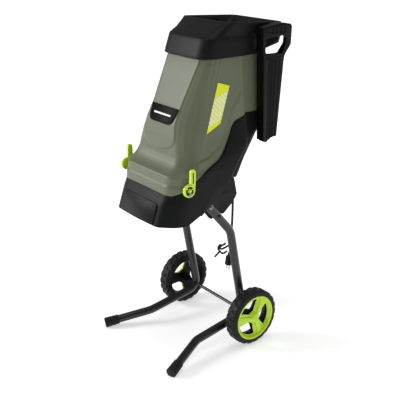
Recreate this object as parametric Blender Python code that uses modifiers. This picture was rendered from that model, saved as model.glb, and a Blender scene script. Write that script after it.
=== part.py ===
"""Electric garden wood chipper: tub and hood on a bent-tube stand with two wheels.

Every mesh is drawn in the axle frame: X across the machine, Y to the rear with the
axle at y = 0, Z up from the ground. The datum empty then moves the axle to AXLE_Y, so
that the origin lies on the ground under the middle of the machine.
"""

import math

import bmesh
import bpy
from mathutils import Matrix, Vector

MM = 0.001
GAP = 0.3 * MM

# Driving dimensions, in metres
AXLE_Y = 78.13 * MM
WHEEL_RADIUS = 86 * MM
WHEEL_OUTER_X = 188 * MM
WHEEL_INNER_X = 146 * MM
RIM_RADIUS = 69.5 * MM
LUG_DEPTH = 4.5 * MM
LUG_COUNT = 24
LEG_X = 114 * MM
FOOT_X = 172 * MM
TUBE_RADIUS = 12.5 * MM
TUBE_WALL = 1.5 * MM
AXLE_RADIUS = 5 * MM
HINGE_Y = 98 * MM
HINGE_Z = 668 * MM
HINGE_PIN_RADIUS = 4 * MM
HOOD_WALL = 3 * MM
TUB_WALL = 3.2 * MM
LATCH_X = 148.3 * MM
LATCH_Y = -218 * MM
LATCH_Z = 518 * MM
KNOB_LIFT = 10 * MM
KNOB_RADIUS = 17.8 * MM
MOTOR_PITCH = math.radians(34.7)
MOTOR_AXIS = Vector((0, -math.cos(MOTOR_PITCH), math.sin(MOTOR_PITCH)))
MOTOR_REAR = Vector((0, -29.5 * MM, 439.3 * MM))
MOTOR_RADIUS = 38 * MM
DISC_RADIUS = 84 * MM
PUSHER_X = (109.5 * MM, 137.5 * MM)
CORD_RADIUS = 3.6 * MM
BOLT_SHANK_RADIUS = 2.5 * MM
BOLT_HOLE_RADIUS = 2.9 * MM
SCREW_HOLE_RADIUS = 3 * MM
CUT_REACH = 200 * MM

# Side profile, (y, z) in millimetres: the line where the hood meets the tub, front to rear
PARTING = [
    (-245, 507), (-225, 520), (-187, 546), (-93, 590), (-61, 640), (-47, 671), (-36, 682), (6, 693),
]
# Side profile of the tub's lower edge, front to rear
TUB_EDGE = [(-213, 424), (-162, 447), (-90, 503), (-57, 530), (-16, 509)]

# Side profile, (y, z) in millimetres: the lead's way from its relief over and down to the plug
CORD_KNOTS = [
    (39.5, 478.6), (51, 474), (60, 462), (64.3, 444), (65.6, 410), (65.2, 360), (63.4, 300),
    (60, 250), (56, 216),
]

COLOURS = {
    "sage": ((0.235, 0.262, 0.185), 0.45, 0.0),
    "black_plastic": ((0.022, 0.023, 0.024), 0.5, 0.0),
    "cap_plastic": ((0.035, 0.036, 0.036), 0.5, 0.0),
    "lime": ((0.42, 0.62, 0.03), 0.4, 0.0),
    "rubber": ((0.012, 0.012, 0.013), 0.8, 0.0),
    "tube_paint": ((0.055, 0.055, 0.057), 0.3, 0.6),
    "steel": ((0.55, 0.55, 0.56), 0.35, 1.0),
    "label": ((0.004, 0.004, 0.004), 0.4, 0.0),
    "red": ((0.5, 0.02, 0.02), 0.4, 0.0),
    "green": ((0.03, 0.3, 0.06), 0.4, 0.0),
    "brass": ((0.6, 0.45, 0.2), 0.3, 1.0),
}


def clear_scene():
    """Remove every object, so that the script always starts from nothing."""
    for obj in list(bpy.data.objects):
        bpy.data.objects.remove(obj, do_unlink=True)


def make_material(name):
    colour, roughness, metallic = COLOURS[name]
    material = bpy.data.materials.new(name)
    material.use_nodes = True
    shader = material.node_tree.nodes["Principled BSDF"]
    shader.inputs["Base Color"].default_value = (*colour, 1.0)
    shader.inputs["Roughness"].default_value = roughness
    shader.inputs["Metallic"].default_value = metallic
    return material


clear_scene()
PARTS = bpy.data.collections.new("wood_chipper")
CUTTERS = bpy.data.collections.new("cutters")
bpy.context.scene.collection.children.link(PARTS)
bpy.context.scene.collection.children.link(CUTTERS)
MATERIALS = {name: make_material(name) for name in COLOURS}


def make_pivot(name, place, parent=None):
    """An empty on a joint's axis; place is in the axle frame."""
    empty = bpy.data.objects.new(name, None)
    PARTS.objects.link(empty)
    empty.parent = parent
    base = Vector(parent["place"]) if parent else Vector((0, 0, 0))
    empty["place"] = list(place)
    empty.location = Vector(place) - base
    return empty


DATUM = bpy.data.objects.new("datum", None)
PARTS.objects.link(DATUM)
DATUM["place"] = [0.0, 0.0, 0.0]
DATUM.location = (0, AXLE_Y, 0)


def add_part(name, mesh, material, pivot=DATUM, matrix=None, smooth=30):
    """Link a mesh as a named part whose parent is its pivot."""
    mesh.name = name
    obj = bpy.data.objects.new(name, mesh)
    PARTS.objects.link(obj)
    mesh.materials.clear()
    mesh.materials.append(MATERIALS[material])
    if matrix is not None:
        mesh.transform(matrix)
    mesh.transform(Matrix.Translation(-Vector(pivot["place"])))
    obj.parent = pivot
    mesh.shade_smooth()
    mesh.set_sharp_from_angle(angle=math.radians(smooth))
    return obj


def add_cutter(name, mesh, pivot=DATUM, matrix=None):
    """A solid that is only cut away or joined on, never shown."""
    mesh.name = name
    obj = bpy.data.objects.new(name, mesh)
    CUTTERS.objects.link(obj)
    if matrix is not None:
        mesh.transform(matrix)
    mesh.transform(Matrix.Translation(-Vector(pivot["place"])))
    obj.parent = pivot
    obj.hide_render = True
    obj.display_type = "WIRE"
    return obj


def combine(obj, cutter, operation="DIFFERENCE"):
    modifier = obj.modifiers.new(cutter.name, "BOOLEAN")
    modifier.object = cutter
    modifier.operation = operation
    modifier.solver = "EXACT"


def bevel(obj, width, segments=1, angle=40):
    modifier = obj.modifiers.new("bevel", "BEVEL")
    modifier.width = width
    modifier.segments = segments
    modifier.limit_method = "ANGLE"
    modifier.angle_limit = math.radians(angle)


def mesh_from(bm):
    bmesh.ops.recalc_face_normals(bm, faces=bm.faces)
    mesh = bpy.data.meshes.new("shape")
    bm.to_mesh(mesh)
    bm.free()
    return mesh


def box_mesh(low, high):
    """A box between two corners."""
    bm = bmesh.new()
    bmesh.ops.create_cube(bm, size=1)
    low, high = Vector(low), Vector(high)
    size = high - low
    bmesh.ops.scale(bm, vec=size, verts=bm.verts)
    bmesh.ops.translate(bm, vec=(low + high) / 2, verts=bm.verts)
    return mesh_from(bm)


def axis_matrix(centre, direction):
    """Turn local Z to a direction and move the origin to a centre."""
    turn = Vector((0, 0, 1)).rotation_difference(Vector(direction).normalized())
    return Matrix.Translation(Vector(centre)) @ turn.to_matrix().to_4x4()


def rod_mesh(start, end, radius, sides=16, end_radius=None):
    """A round bar between two points."""
    start, end = Vector(start), Vector(end)
    bm = bmesh.new()
    bmesh.ops.create_cone(
        bm,
        cap_ends=True,
        segments=sides,
        radius1=radius,
        radius2=radius if end_radius is None else end_radius,
        depth=(end - start).length,
        matrix=axis_matrix((start + end) / 2, end - start),
    )
    return mesh_from(bm)


def plate_mesh(outlines, thickness, matrix=None):
    """A flat plate from an outline and its holes; the plate's middle is at local z = 0."""
    curve = bpy.data.curves.new("plate", "CURVE")
    curve.dimensions = "2D"
    curve.fill_mode = "BOTH"
    curve.extrude = thickness / 2
    for outline in outlines:
        spline = curve.splines.new("POLY")
        spline.points.add(len(outline) - 1)
        for point, (x, y) in zip(spline.points, outline):
            point.co = (x, y, 0, 1)
        spline.use_cyclic_u = True
    holder = bpy.data.objects.new("plate", curve)
    CUTTERS.objects.link(holder)
    depsgraph = bpy.context.evaluated_depsgraph_get()
    mesh = bpy.data.meshes.new_from_object(holder.evaluated_get(depsgraph))
    bpy.data.objects.remove(holder)
    bm = bmesh.new()
    bm.from_mesh(mesh)
    bmesh.ops.remove_doubles(bm, verts=bm.verts, dist=0.00002)
    mesh = mesh_from(bm)
    if matrix is not None:
        mesh.transform(matrix)
        if matrix.determinant() < 0:
            mesh.flip_normals()
    return mesh


# Local x, y, z of a plate drawn as (y, z) and extruded across the machine
SIDEWAYS = Matrix(((0, 0, 1, 0), (1, 0, 0, 0), (0, 1, 0, 0), (0, 0, 0, 1)))


def side_plate(outlines, low_x, high_x):
    """A plate drawn in side view, (y, z) in millimetres, between two X values in metres."""
    metres = [[(y * MM, z * MM) for y, z in outline] for outline in outlines]
    place = Matrix.Translation(((low_x + high_x) / 2, 0, 0))
    return plate_mesh(metres, high_x - low_x, place @ SIDEWAYS)


def turned_mesh(profile, steps, matrix):
    """Turn a (radius, height) profile about local Z; it is a closed loop or it ends on the axis."""
    bm = bmesh.new()
    corners = [bm.verts.new((radius, 0, height)) for radius, height in profile]
    following = corners[1:] if profile[0][0] == 0 else corners[1:] + corners[:1]
    for here, there in zip(corners, following):
        bm.edges.new((here, there))
    mesh = bpy.data.meshes.new("profile")
    bm.to_mesh(mesh)
    bm.free()
    holder = bpy.data.objects.new("profile", mesh)
    CUTTERS.objects.link(holder)
    screw = holder.modifiers.new("screw", "SCREW")
    screw.steps = steps
    screw.render_steps = steps
    screw.use_merge_vertices = True
    screw.merge_threshold = 0.00001
    depsgraph = bpy.context.evaluated_depsgraph_get()
    solid = bpy.data.meshes.new_from_object(holder.evaluated_get(depsgraph))
    bpy.data.objects.remove(holder)
    bm = bmesh.new()
    bm.from_mesh(solid)
    bmesh.ops.remove_doubles(bm, verts=bm.verts, dist=0.00001)
    solid = mesh_from(bm)
    solid.transform(matrix)
    return solid


def fillet_path(points, radii, steps=6):
    """Replace each inner corner of a 3D path by an arc of its radius."""
    path = [Vector(points[0])]
    for before, corner, after, radius in zip(points, points[1:], points[2:], radii):
        corner = Vector(corner)
        inward = (Vector(before) - corner).normalized()
        outward = (Vector(after) - corner).normalized()
        half = inward.angle(outward) / 2
        reach = radius / math.tan(half)
        centre = corner + (inward + outward).normalized() * radius / math.sin(half)
        start = corner + inward * reach - centre
        finish = corner + outward * reach - centre
        sweep = start.angle(finish)
        for step in range(steps + 1):
            part = step / steps
            weight_a = math.sin((1 - part) * sweep) / math.sin(sweep)
            weight_b = math.sin(part * sweep) / math.sin(sweep)
            path.append(centre + start * weight_a + finish * weight_b)
    path.append(Vector(points[-1]))
    return path


def tube_mesh(path, radius, resolution=2):
    """A capped round tube along a path."""
    curve = bpy.data.curves.new("tube", "CURVE")
    curve.dimensions = "3D"
    curve.bevel_depth = radius
    curve.bevel_resolution = resolution
    curve.use_fill_caps = True
    spline = curve.splines.new("POLY")
    spline.points.add(len(path) - 1)
    for point, place in zip(spline.points, path):
        point.co = (*place, 1)
    holder = bpy.data.objects.new("tube", curve)
    CUTTERS.objects.link(holder)
    depsgraph = bpy.context.evaluated_depsgraph_get()
    mesh = bpy.data.meshes.new_from_object(holder.evaluated_get(depsgraph))
    bpy.data.objects.remove(holder)
    bm = bmesh.new()
    bm.from_mesh(mesh)
    bmesh.ops.remove_doubles(bm, verts=bm.verts, dist=0.00001)
    return mesh_from(bm)


def round_corners(points, radii, steps=3):
    """Round a 2D polygon's corners, with the same number of points for any size."""
    outline = []
    count = len(points)
    for index, radius in enumerate(radii):
        corner = Vector(points[index])
        before = Vector(points[index - 1]) - corner
        after = Vector(points[(index + 1) % count]) - corner
        if radius == 0:
            outline.append(corner)
            continue
        reach = min(radius, 0.45 * before.length, 0.45 * after.length)
        start = corner + before.normalized() * reach
        finish = corner + after.normalized() * reach
        for step in range(steps + 1):
            part = step / steps
            outline.append(start * (1 - part) ** 2 + corner * 2 * part * (1 - part) + finish * part**2)
    return outline


def body_ring(z, wide, front, facet, shoulder, step, narrow, rear, wall=0.0, crown=4, tilt=0.0):
    """One level of the tub, hood or cap, in millimetres: a wide front part and a narrow rear part.

    wide and narrow are half widths; front, shoulder, step and rear are Y values; facet is the
    half width of the flat front; wall moves the outline inwards; tilt drops the rear.
    """
    half = [
        (0, front - crown + wall),
        (facet - 0.4 * wall, front + wall),
        (wide - wall, shoulder + 0.4 * wall),
        (wide - wall, step - wall),
        (narrow - wall, step - wall),
        (narrow - wall, rear - wall),
        (0, rear - wall),
    ]
    radii = [0, 12, 26, 9, 9, 22, 0]
    right = round_corners(half, radii)
    left = [Vector((-point.x, point.y)) for point in reversed(right[1:-1])]
    ring = []
    for point in right + left:
        drop = tilt * (point.y - front)
        ring.append(Vector((point.x, point.y, z - drop)) * MM)
    return ring


def loft_mesh(rings):
    """Join closed rings of equal count, the last one back to the first, into one closed shell."""
    bm = bmesh.new()
    rows = [[bm.verts.new(point) for point in ring] for ring in rings]
    for low, high in zip(rows, rows[1:] + rows[:1]):
        for index in range(len(low)):
            after = (index + 1) % len(low)
            bm.faces.new((low[index], low[after], high[after], high[index]))
    return mesh_from(bm)


def build_leg_bolt(leg, name, side, spot):
    """A round-headed bolt through a stand tube at (y, z); its shank ends inside the motor cover."""
    y, z = spot
    outer = side * (LEG_X + TUBE_RADIUS + GAP)
    inner = side * (LEG_X - TUBE_RADIUS - 11 * MM)
    seat = (outer + side * MM, y, z)
    head = rod_mesh((outer, y, z), (outer + side * 4.5 * MM, y, z), 5.5 * MM, 12, 4.2 * MM)
    bolt = add_part(name, head, "steel")
    shank = rod_mesh((inner, y, z), seat, BOLT_SHANK_RADIUS, 12)
    combine(bolt, add_cutter(f"{name}_shank", shank), "UNION")
    hole = rod_mesh((inner - side * MM, y, z), seat, BOLT_HOLE_RADIUS, 12)
    combine(leg, add_cutter(f"{name}_hole", hole))


def build_leg(name, side):
    """One bent tube with its rubber foot cap and two bolts; returns the bolts' (y, z) places."""
    corners = [
        (side * LEG_X, -130 * MM, 459 * MM),
        (side * LEG_X, -41 * MM, 355 * MM),
        (side * LEG_X, 15 * MM, 67 * MM),
        (side * 116 * MM, -168 * MM, 39 * MM),
        (side * FOOT_X, -297 * MM, 14.6 * MM),
    ]
    path = fillet_path(corners, (60 * MM, 34 * MM, 60 * MM))
    leg = add_part(f"{name}_leg_tube", tube_mesh(path, TUBE_RADIUS), "tube_paint")
    run = (path[-1] - path[-2]).normalized()
    over = 4 * MM
    bore_path = [path[0] + (path[0] - path[1]).normalized() * over] + path[1:-1]
    bore_path.append(path[-1] + run * over)
    bore = add_cutter(f"{name}_leg_bore", tube_mesh(bore_path, TUBE_RADIUS - TUBE_WALL))
    combine(leg, bore)
    near = (side * (LEG_X - 24 * MM), 0, WHEEL_RADIUS)
    far = (side * (LEG_X + 26 * MM), 0, WHEEL_RADIUS)
    combine(leg, add_cutter(f"{name}_axle_hole", rod_mesh(near, far, AXLE_RADIUS + GAP)))

    cap_start = path[-1] - run * 36 * MM
    cap_end = path[-1] + run * 8 * MM
    cap_mesh = rod_mesh(cap_start, cap_end, 14.6 * MM, 20, 15.6 * MM)
    cap = add_part(f"{name}_foot_cap", cap_mesh, "rubber")
    bevel(cap, 1.5 * MM)
    socket = rod_mesh(cap_start - run * 5 * MM, path[-1] + run * GAP, TUBE_RADIUS + GAP, 20)
    combine(cap, add_cutter(f"{name}_cap_socket", socket))
    low = (side * FOOT_X - 60 * MM, -400 * MM, -30 * MM)
    high = (side * FOOT_X + 60 * MM, -200 * MM, 0)
    combine(cap, add_cutter(f"{name}_cap_ground", box_mesh(low, high)))

    spots = []
    for place, part in (("upper", 0.09), ("lower", 0.47)):
        point = path[0].lerp(path[1], part)
        spots.append((point.y, point.z))
        build_leg_bolt(leg, f"{name}_leg_bolt_{place}", side, spots[-1])
    return spots


def build_axle():
    """The steel rod that both wheels turn on."""
    reach = WHEEL_OUTER_X - 3 * MM
    axle = rod_mesh((-reach, 0, WHEEL_RADIUS), (reach, 0, WHEEL_RADIUS), AXLE_RADIUS)
    bevel(add_part("axle_rod", axle, "steel"), 0.8 * MM)


def lug_outline(outer, root, count):
    """A tyre's stepped outline: square lugs with grooves between them."""
    outline = []
    for index in range(count):
        start = 2 * math.pi * index / count
        pitch = 2 * math.pi / count
        for part, radius in ((0.0, outer), (0.62, outer), (0.68, root), (0.94, root)):
            angle = start + part * pitch
            outline.append((radius * math.cos(angle), radius * math.sin(angle)))
    return outline


def circle(radius, count=36):
    angles = [2 * math.pi * index / count for index in range(count)]
    return [(radius * math.cos(angle), radius * math.sin(angle)) for angle in angles]


def wheel_windows(inner, outer, half_angle):
    """Three windows between the spokes of a wheel, wider at the rim than at the hub."""
    windows = []
    inner_half_angle = 24
    steps = 5
    for centre in (115, 235, 355):
        outline = []
        for step in range(steps + 1):
            angle = math.radians(centre - half_angle + 2 * half_angle * step / steps)
            outline.append((outer * math.cos(angle), outer * math.sin(angle)))
        for offset in (inner_half_angle, -inner_half_angle):
            angle = math.radians(centre + offset)
            outline.append((inner * math.cos(angle), inner * math.sin(angle)))
        windows.append(outline)
    return windows


def build_wheel(name, side):
    """Tyre, moulded wheel body, lime spoke trim, push nut and spacer tube."""
    middle = (WHEEL_OUTER_X + WHEEL_INNER_X) / 2
    pivot = make_pivot(f"{name}_wheel_pivot", (side * middle, 0, WHEEL_RADIUS), DATUM)
    outward = axis_matrix((0, 0, WHEEL_RADIUS), (side, 0, 0))
    wheel_face = Matrix(((0, 0, side, 0), (1, 0, 0, 0), (0, 1, 0, WHEEL_RADIUS), (0, 0, 0, 1)))
    width = WHEEL_OUTER_X - WHEEL_INNER_X
    lugs = lug_outline(WHEEL_RADIUS, WHEEL_RADIUS - LUG_DEPTH, LUG_COUNT)
    outlines = [lugs, circle(RIM_RADIUS + GAP, 28)]
    tyre = plate_mesh(outlines, width, wheel_face @ Matrix.Translation((0, 0, middle)))
    add_part(f"{name}_tyre", tyre, "rubber", pivot)

    low = WHEEL_INNER_X
    profile = [
        (RIM_RADIUS, low + 1 * MM),
        (RIM_RADIUS, WHEEL_OUTER_X - 9 * MM),
        (62 * MM, WHEEL_OUTER_X - 9 * MM),
        (60 * MM, low + 24 * MM),
        (15 * MM, low + 24 * MM),
        (13 * MM, WHEEL_OUTER_X - 9 * MM),
        (AXLE_RADIUS + GAP, WHEEL_OUTER_X - 9 * MM),
        (AXLE_RADIUS + GAP, low - 4 * MM),
        (12 * MM, low - 4 * MM),
        (15 * MM, low + 18 * MM),
        (60 * MM, low + 18 * MM),
        (63 * MM, low + 1 * MM),
    ]
    body = add_part(f"{name}_wheel_body", turned_mesh(profile, 28, outward), "black_plastic", pivot)
    for index, window in enumerate(wheel_windows(26 * MM, 56 * MM, 40)):
        hole = plate_mesh([window], 30 * MM, wheel_face @ Matrix.Translation((0, 0, low + 21 * MM)))
        combine(body, add_cutter(f"{name}_body_window_{index}", hole, pivot))

    low = WHEEL_OUTER_X - 8.6 * MM
    high = WHEEL_OUTER_X
    profile = [
        (0, high + 3.8 * MM),
        (9 * MM, high + 3.4 * MM),
        (14 * MM, high + 2 * MM),
        (18 * MM, high - 1 * MM),
        (60 * MM, high - 2 * MM),
        (62 * MM, high),
        (RIM_RADIUS - 1.5 * MM, high),
        (RIM_RADIUS - 0.2 * MM, high - 1.2 * MM),
        (RIM_RADIUS - 0.2 * MM, low),
        (15 * MM, low),
        (9 * MM, low + 0.4 * MM),
        (9 * MM, high + 0.6 * MM),
        (0, high + 0.6 * MM),
    ]
    trim = add_part(f"{name}_hub_trim", turned_mesh(profile, 30, outward), "lime", pivot)
    for index, window in enumerate(wheel_windows(23 * MM, 58 * MM, 41)):
        hole = plate_mesh([window], 30 * MM, wheel_face @ Matrix.Translation((0, 0, high)))
        combine(trim, add_cutter(f"{name}_trim_window_{index}", hole, pivot))

    bore = AXLE_RADIUS + GAP
    low = WHEEL_OUTER_X - 8 * MM
    high = WHEEL_OUTER_X - 4.5 * MM
    nut = [(8.4 * MM, low), (6.5 * MM, high), (bore, high), (bore, low)]
    add_part(f"{name}_push_nut", turned_mesh(nut, 20, outward), "steel")
    low = LEG_X + TUBE_RADIUS + 0.6 * MM
    high = WHEEL_INNER_X - 4.4 * MM
    spacer = [(8 * MM, low), (8 * MM, high), (bore, high), (bore, low)]
    add_part(f"{name}_wheel_spacer", turned_mesh(spacer, 20, outward), "black_plastic")


def hinge_rod(reach, radius):
    """A rod along the hood's hinge axis, as far to one side as to the other."""
    return rod_mesh((-reach, HINGE_Y, HINGE_Z), (reach, HINGE_Y, HINGE_Z), radius)


def build_tub():
    """The lower housing, drawn as a lofted shell and trimmed to its two edge lines."""
    levels = [
        (414, 141, -290, 97, -246, -130, 100, -60),
        (482, 142, -266, 96, -230, -100, 100, -25),
        (508, 142, -252, 95, -222, -72, 100, 2),
        (560, 142, -240, 95, -212, -42, 100, 28),
        (612, 135, -230, 95, -200, 2, 100, 61),
        (650, 128, -220, 95, -190, 7, 100, 85),
        (702, 120, -210, 95, -180, 7, 100, 85),
    ]
    thickness = TUB_WALL / MM
    outer = [body_ring(*level) for level in levels]
    inner = [body_ring(*level, wall=thickness) for level in reversed(levels)]
    tub = add_part("base_housing", loft_mesh(outer + inner), "black_plastic")
    above = [(-400, PARTING[0][1])] + PARTING + [(200, 693), (200, 800), (-400, 800)]
    combine(tub, add_cutter("tub_top_cut", side_plate([above], -CUT_REACH, CUT_REACH)))
    below = [(-400, 423)] + TUB_EDGE + [(200, 509), (200, 380), (-400, 380)]
    combine(tub, add_cutter("tub_lower_cut", side_plate([below], -CUT_REACH, CUT_REACH)))
    panel = [(-290.5, 428), (-272.5, 476), (-270, 480), (-263.5, 480), (-282.5, 428)]
    combine(tub, add_cutter("front_panel", side_plate([panel], -74 * MM, 74 * MM)), "UNION")
    lug_shape = [(83, 655), (99, 655), (106, 660), (108, 668), (105, 676), (98, 679), (83, 679)]
    for index, side in enumerate((-1, 1)):
        low, high = sorted((side * 45 * MM, side * 60 * MM))
        lug = side_plate([lug_shape], low, high)
        combine(tub, add_cutter(f"hinge_lug_{index}", lug), "UNION")
    combine(tub, add_cutter("tub_pin_hole", hinge_rod(70 * MM, HINGE_PIN_RADIUS + GAP)))
    bevel(add_part("hinge_pin", hinge_rod(63 * MM, HINGE_PIN_RADIUS), "steel"), 0.6 * MM)
    return tub


def build_motor_cover(bolt_spots):
    """The narrow box under the tub round the motor, with a floor flange and holes for the leg bolts."""
    outline = [(-146, 458), (-54, 404), (-20, 431), (-2, 454), (-14, 508), (-56, 529)]
    cover = add_part("motor_cover", side_plate([outline], -96 * MM, 96 * MM), "black_plastic")
    bevel(cover, 5 * MM, 2, 30)
    flange = [
        (-168, 440), (-162, 443.2), (-90, 499.2), (-57, 526.2),
        (-57, 529.4), (-90, 502.4), (-162, 446.4), (-168, 443.6),
    ]
    combine(cover, add_cutter("cover_flange", side_plate([flange], -140 * MM, 140 * MM)), "UNION")
    ear = [(-142, 460), (-137, 446), (-104, 402), (-80, 408), (-74, 470), (-106, 484)]
    for index, side in enumerate((-1, 1)):
        low, high = sorted((side * 94 * MM, side * 101.1 * MM))
        combine(cover, add_cutter(f"leg_ear_{index}", side_plate([ear], low, high)), "UNION")
    hollow = [
        (-141, 462), (-54.3, 407.9), (-22.3, 433.6), (-5.3, 454.8),
        (-17.2, 506), (-20, 512), (-58, 540), (-152, 474),
    ]
    combine(cover, add_cutter("cover_hollow", side_plate([hollow], -92.8 * MM, 92.8 * MM)))
    for index, (y, z) in enumerate(bolt_spots):
        hole = rod_mesh((-120 * MM, y, z), (120 * MM, y, z), BOLT_HOLE_RADIUS, 12)
        combine(cover, add_cutter(f"cover_bolt_hole_{index}", hole))
    return cover


def motor_point(along):
    """A point on the motor's axis, which runs from the lower rear up to the front."""
    return MOTOR_REAR + MOTOR_AXIS * along


def motor_rod(start, end, radius, sides=24):
    """A round bar along the motor's axis."""
    return rod_mesh(motor_point(start), motor_point(end), radius, sides)


def build_motor():
    """The motor with a bore for its shaft, the plate it hangs on and the plate that throws chips down."""
    body = add_part("motor_body", motor_rod(14 * MM, 110 * MM, MOTOR_RADIUS, 28), "steel")
    bevel(body, 3 * MM)
    combine(body, add_cutter("motor_bore", motor_rod(60 * MM, 120 * MM, 8 * MM)))
    tilt = Matrix.Rotation(math.pi / 2 - MOTOR_PITCH, 4, "X")
    plate_face = Matrix.Translation(motor_point(112.3 * MM)) @ tilt
    corners = [(-0.1, -0.05), (0.1, -0.05), (0.1, 0.062), (-0.1, 0.062)]
    outline = [(point.x, point.y) for point in round_corners(corners, [20 * MM] * 4)]
    plate = plate_mesh([outline, circle(9 * MM, 20)], 3 * MM, plate_face)
    add_part("motor_plate", plate, "steel")
    deflector = [(-206, 568), (-203, 568), (-246, 478), (-249, 478)]
    add_part("chip_deflector", side_plate([deflector], -88 * MM, 88 * MM), "steel")


def build_rotor():
    """The parts that spin: shaft, blade disc, its nut, and two blades with their screws."""
    pivot = make_pivot("rotor_pivot", motor_point(136 * MM), DATUM)
    add_part("motor_shaft", motor_rod(66 * MM, 152 * MM, 6.5 * MM, 20), "steel", pivot)
    bore = 6.8 * MM
    profile = [
        (DISC_RADIUS, 0),
        (DISC_RADIUS, 5 * MM),
        (bore, 5 * MM),
        (bore, -8 * MM),
        (16 * MM, -8 * MM),
        (18 * MM, 0),
    ]
    disc_mesh = turned_mesh(profile, 36, axis_matrix(motor_point(130 * MM), MOTOR_AXIS))
    disc = add_part("blade_disc", disc_mesh, "steel", pivot)
    nut_face = axis_matrix(motor_point(139.4 * MM), MOTOR_AXIS)
    nut = plate_mesh([circle(10.5 * MM, 6), circle(7 * MM, 24)], 7.8 * MM, nut_face)
    add_part("disc_nut", nut, "steel", pivot)
    disc_face = axis_matrix(motor_point(137.4 * MM), MOTOR_AXIS)
    for label, side in (("a", -1), ("b", 1)):
        corners = ((24, -16), (80, -13), (78, 8), (24, 14))
        outline = [(side * x * MM, y * MM) for x, y in corners]
        blade = add_part(f"blade_{label}", plate_mesh([outline], 3.6 * MM, disc_face), "steel", pivot)
        spot = disc_face @ Vector((side * 46 * MM, 0, 0))
        top = spot + MOTOR_AXIS * 3 * MM
        head = rod_mesh(spot + MOTOR_AXIS * 2.2 * MM, spot + MOTOR_AXIS * 5 * MM, 5 * MM, 12, 4 * MM)
        screw = add_part(f"blade_screw_{label}", head, "steel", pivot)
        shank = rod_mesh(spot - MOTOR_AXIS * 7 * MM, top, 2.6 * MM, 12)
        combine(screw, add_cutter(f"blade_shank_{label}", shank, pivot), "UNION")
        hole = rod_mesh(spot - MOTOR_AXIS * 10 * MM, top, SCREW_HOLE_RADIUS, 12)
        combine(blade, add_cutter(f"blade_hole_{label}", hole, pivot))
        deep_hole = rod_mesh(spot - MOTOR_AXIS * 20 * MM, top, SCREW_HOLE_RADIUS, 12)
        combine(disc, add_cutter(f"disc_hole_{label}", deep_hole, pivot))


def build_switches():
    """The switch box with two buttons and a reset, and the interlock that feels the shut hood."""
    low = (-126 * MM, 22 * MM, 598 * MM)
    high = (-100.3 * MM, 72 * MM, 676 * MM)
    switch = add_part("switch_box", box_mesh(low, high), "black_plastic")
    bevel(switch, 3 * MM, 2)
    buttons = (
        ("on_button", "green", 655 * MM, 9 * MM),
        ("off_button", "red", 632 * MM, 9 * MM),
        ("reset_button", "black_plastic", 611 * MM, 5 * MM),
    )
    y = 47 * MM
    for name, colour, z, radius in buttons:
        well = rod_mesh((-120 * MM, y, z), (-132 * MM, y, z), radius + 0.4 * MM, 20)
        combine(switch, add_cutter(f"{name}_well", well))
        pivot = make_pivot(f"{name}_pivot", (-120 * MM, y, z), DATUM)
        button = rod_mesh((-124.5 * MM, y, z), (-129.5 * MM, y, z), radius, 20)
        bevel(add_part(name, button, colour, pivot), 0.8 * MM)
    interlock = box_mesh((-14 * MM, 58 * MM, 664 * MM), (14 * MM, 78 * MM, 688 * MM))
    add_part("interlock_switch", interlock, "black_plastic")


def build_cord(cover):
    """The strain relief in the motor cover's rear wall, the free lead and its plug."""
    wall = Vector((0, -5.56 * MM, 470 * MM))
    outward = Vector((0, 0.9762, 0.2169))
    relief_length = 34 * MM
    profile = [
        (0, relief_length),
        (4.6 * MM, relief_length),
        (7 * MM, 5.5 * MM),
        (9.5 * MM, 3.5 * MM),
        (9.5 * MM, 0.5 * MM),
        (5.2 * MM, 0.5 * MM),
        (5.2 * MM, -8 * MM),
        (0, -8 * MM),
    ]
    add_part("cord_relief", turned_mesh(profile, 16, axis_matrix(wall, outward)), "rubber")
    relief_hole = rod_mesh(wall - outward * 12 * MM, wall + outward * 6 * MM, 5.6 * MM, 20)
    combine(cover, add_cutter("relief_hole", relief_hole))

    path = hanging_route(wall + outward * (relief_length + GAP), outward)
    add_part("power_cord", tube_mesh(path, CORD_RADIUS), "rubber")
    plug_axis = (path[-1] - path[-2]).normalized()
    build_plug(path[-1] + plug_axis * GAP, plug_axis)
    return path


def build_plug(top, axis):
    """A moulded two-pin mains plug that hangs from the lead's end."""
    length = 40 * MM
    profile = [
        (0, length),
        (10 * MM, length),
        (11.4 * MM, 38 * MM),
        (10.6 * MM, 13 * MM),
        (6 * MM, 8 * MM),
        (4.6 * MM, 0),
        (0, 0),
    ]
    plug = add_part("plug_body", turned_mesh(profile, 20, axis_matrix(top, axis)), "rubber")
    pin_radius = 2.2 * MM
    pin_foot = 34 * MM
    for label, side in (("a", -1), ("b", 1)):
        base = top + Vector((side * 5.5 * MM, 0, 0))
        pin = rod_mesh(base + axis * pin_foot, base + axis * 55 * MM, pin_radius, 12)
        bevel(add_part(f"plug_pin_{label}", pin, "brass"), 0.8 * MM)
        socket = rod_mesh(base + axis * (pin_foot - GAP), base + axis * 50 * MM, pin_radius + GAP, 12)
        combine(plug, add_cutter(f"pin_socket_{label}", socket))


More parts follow.
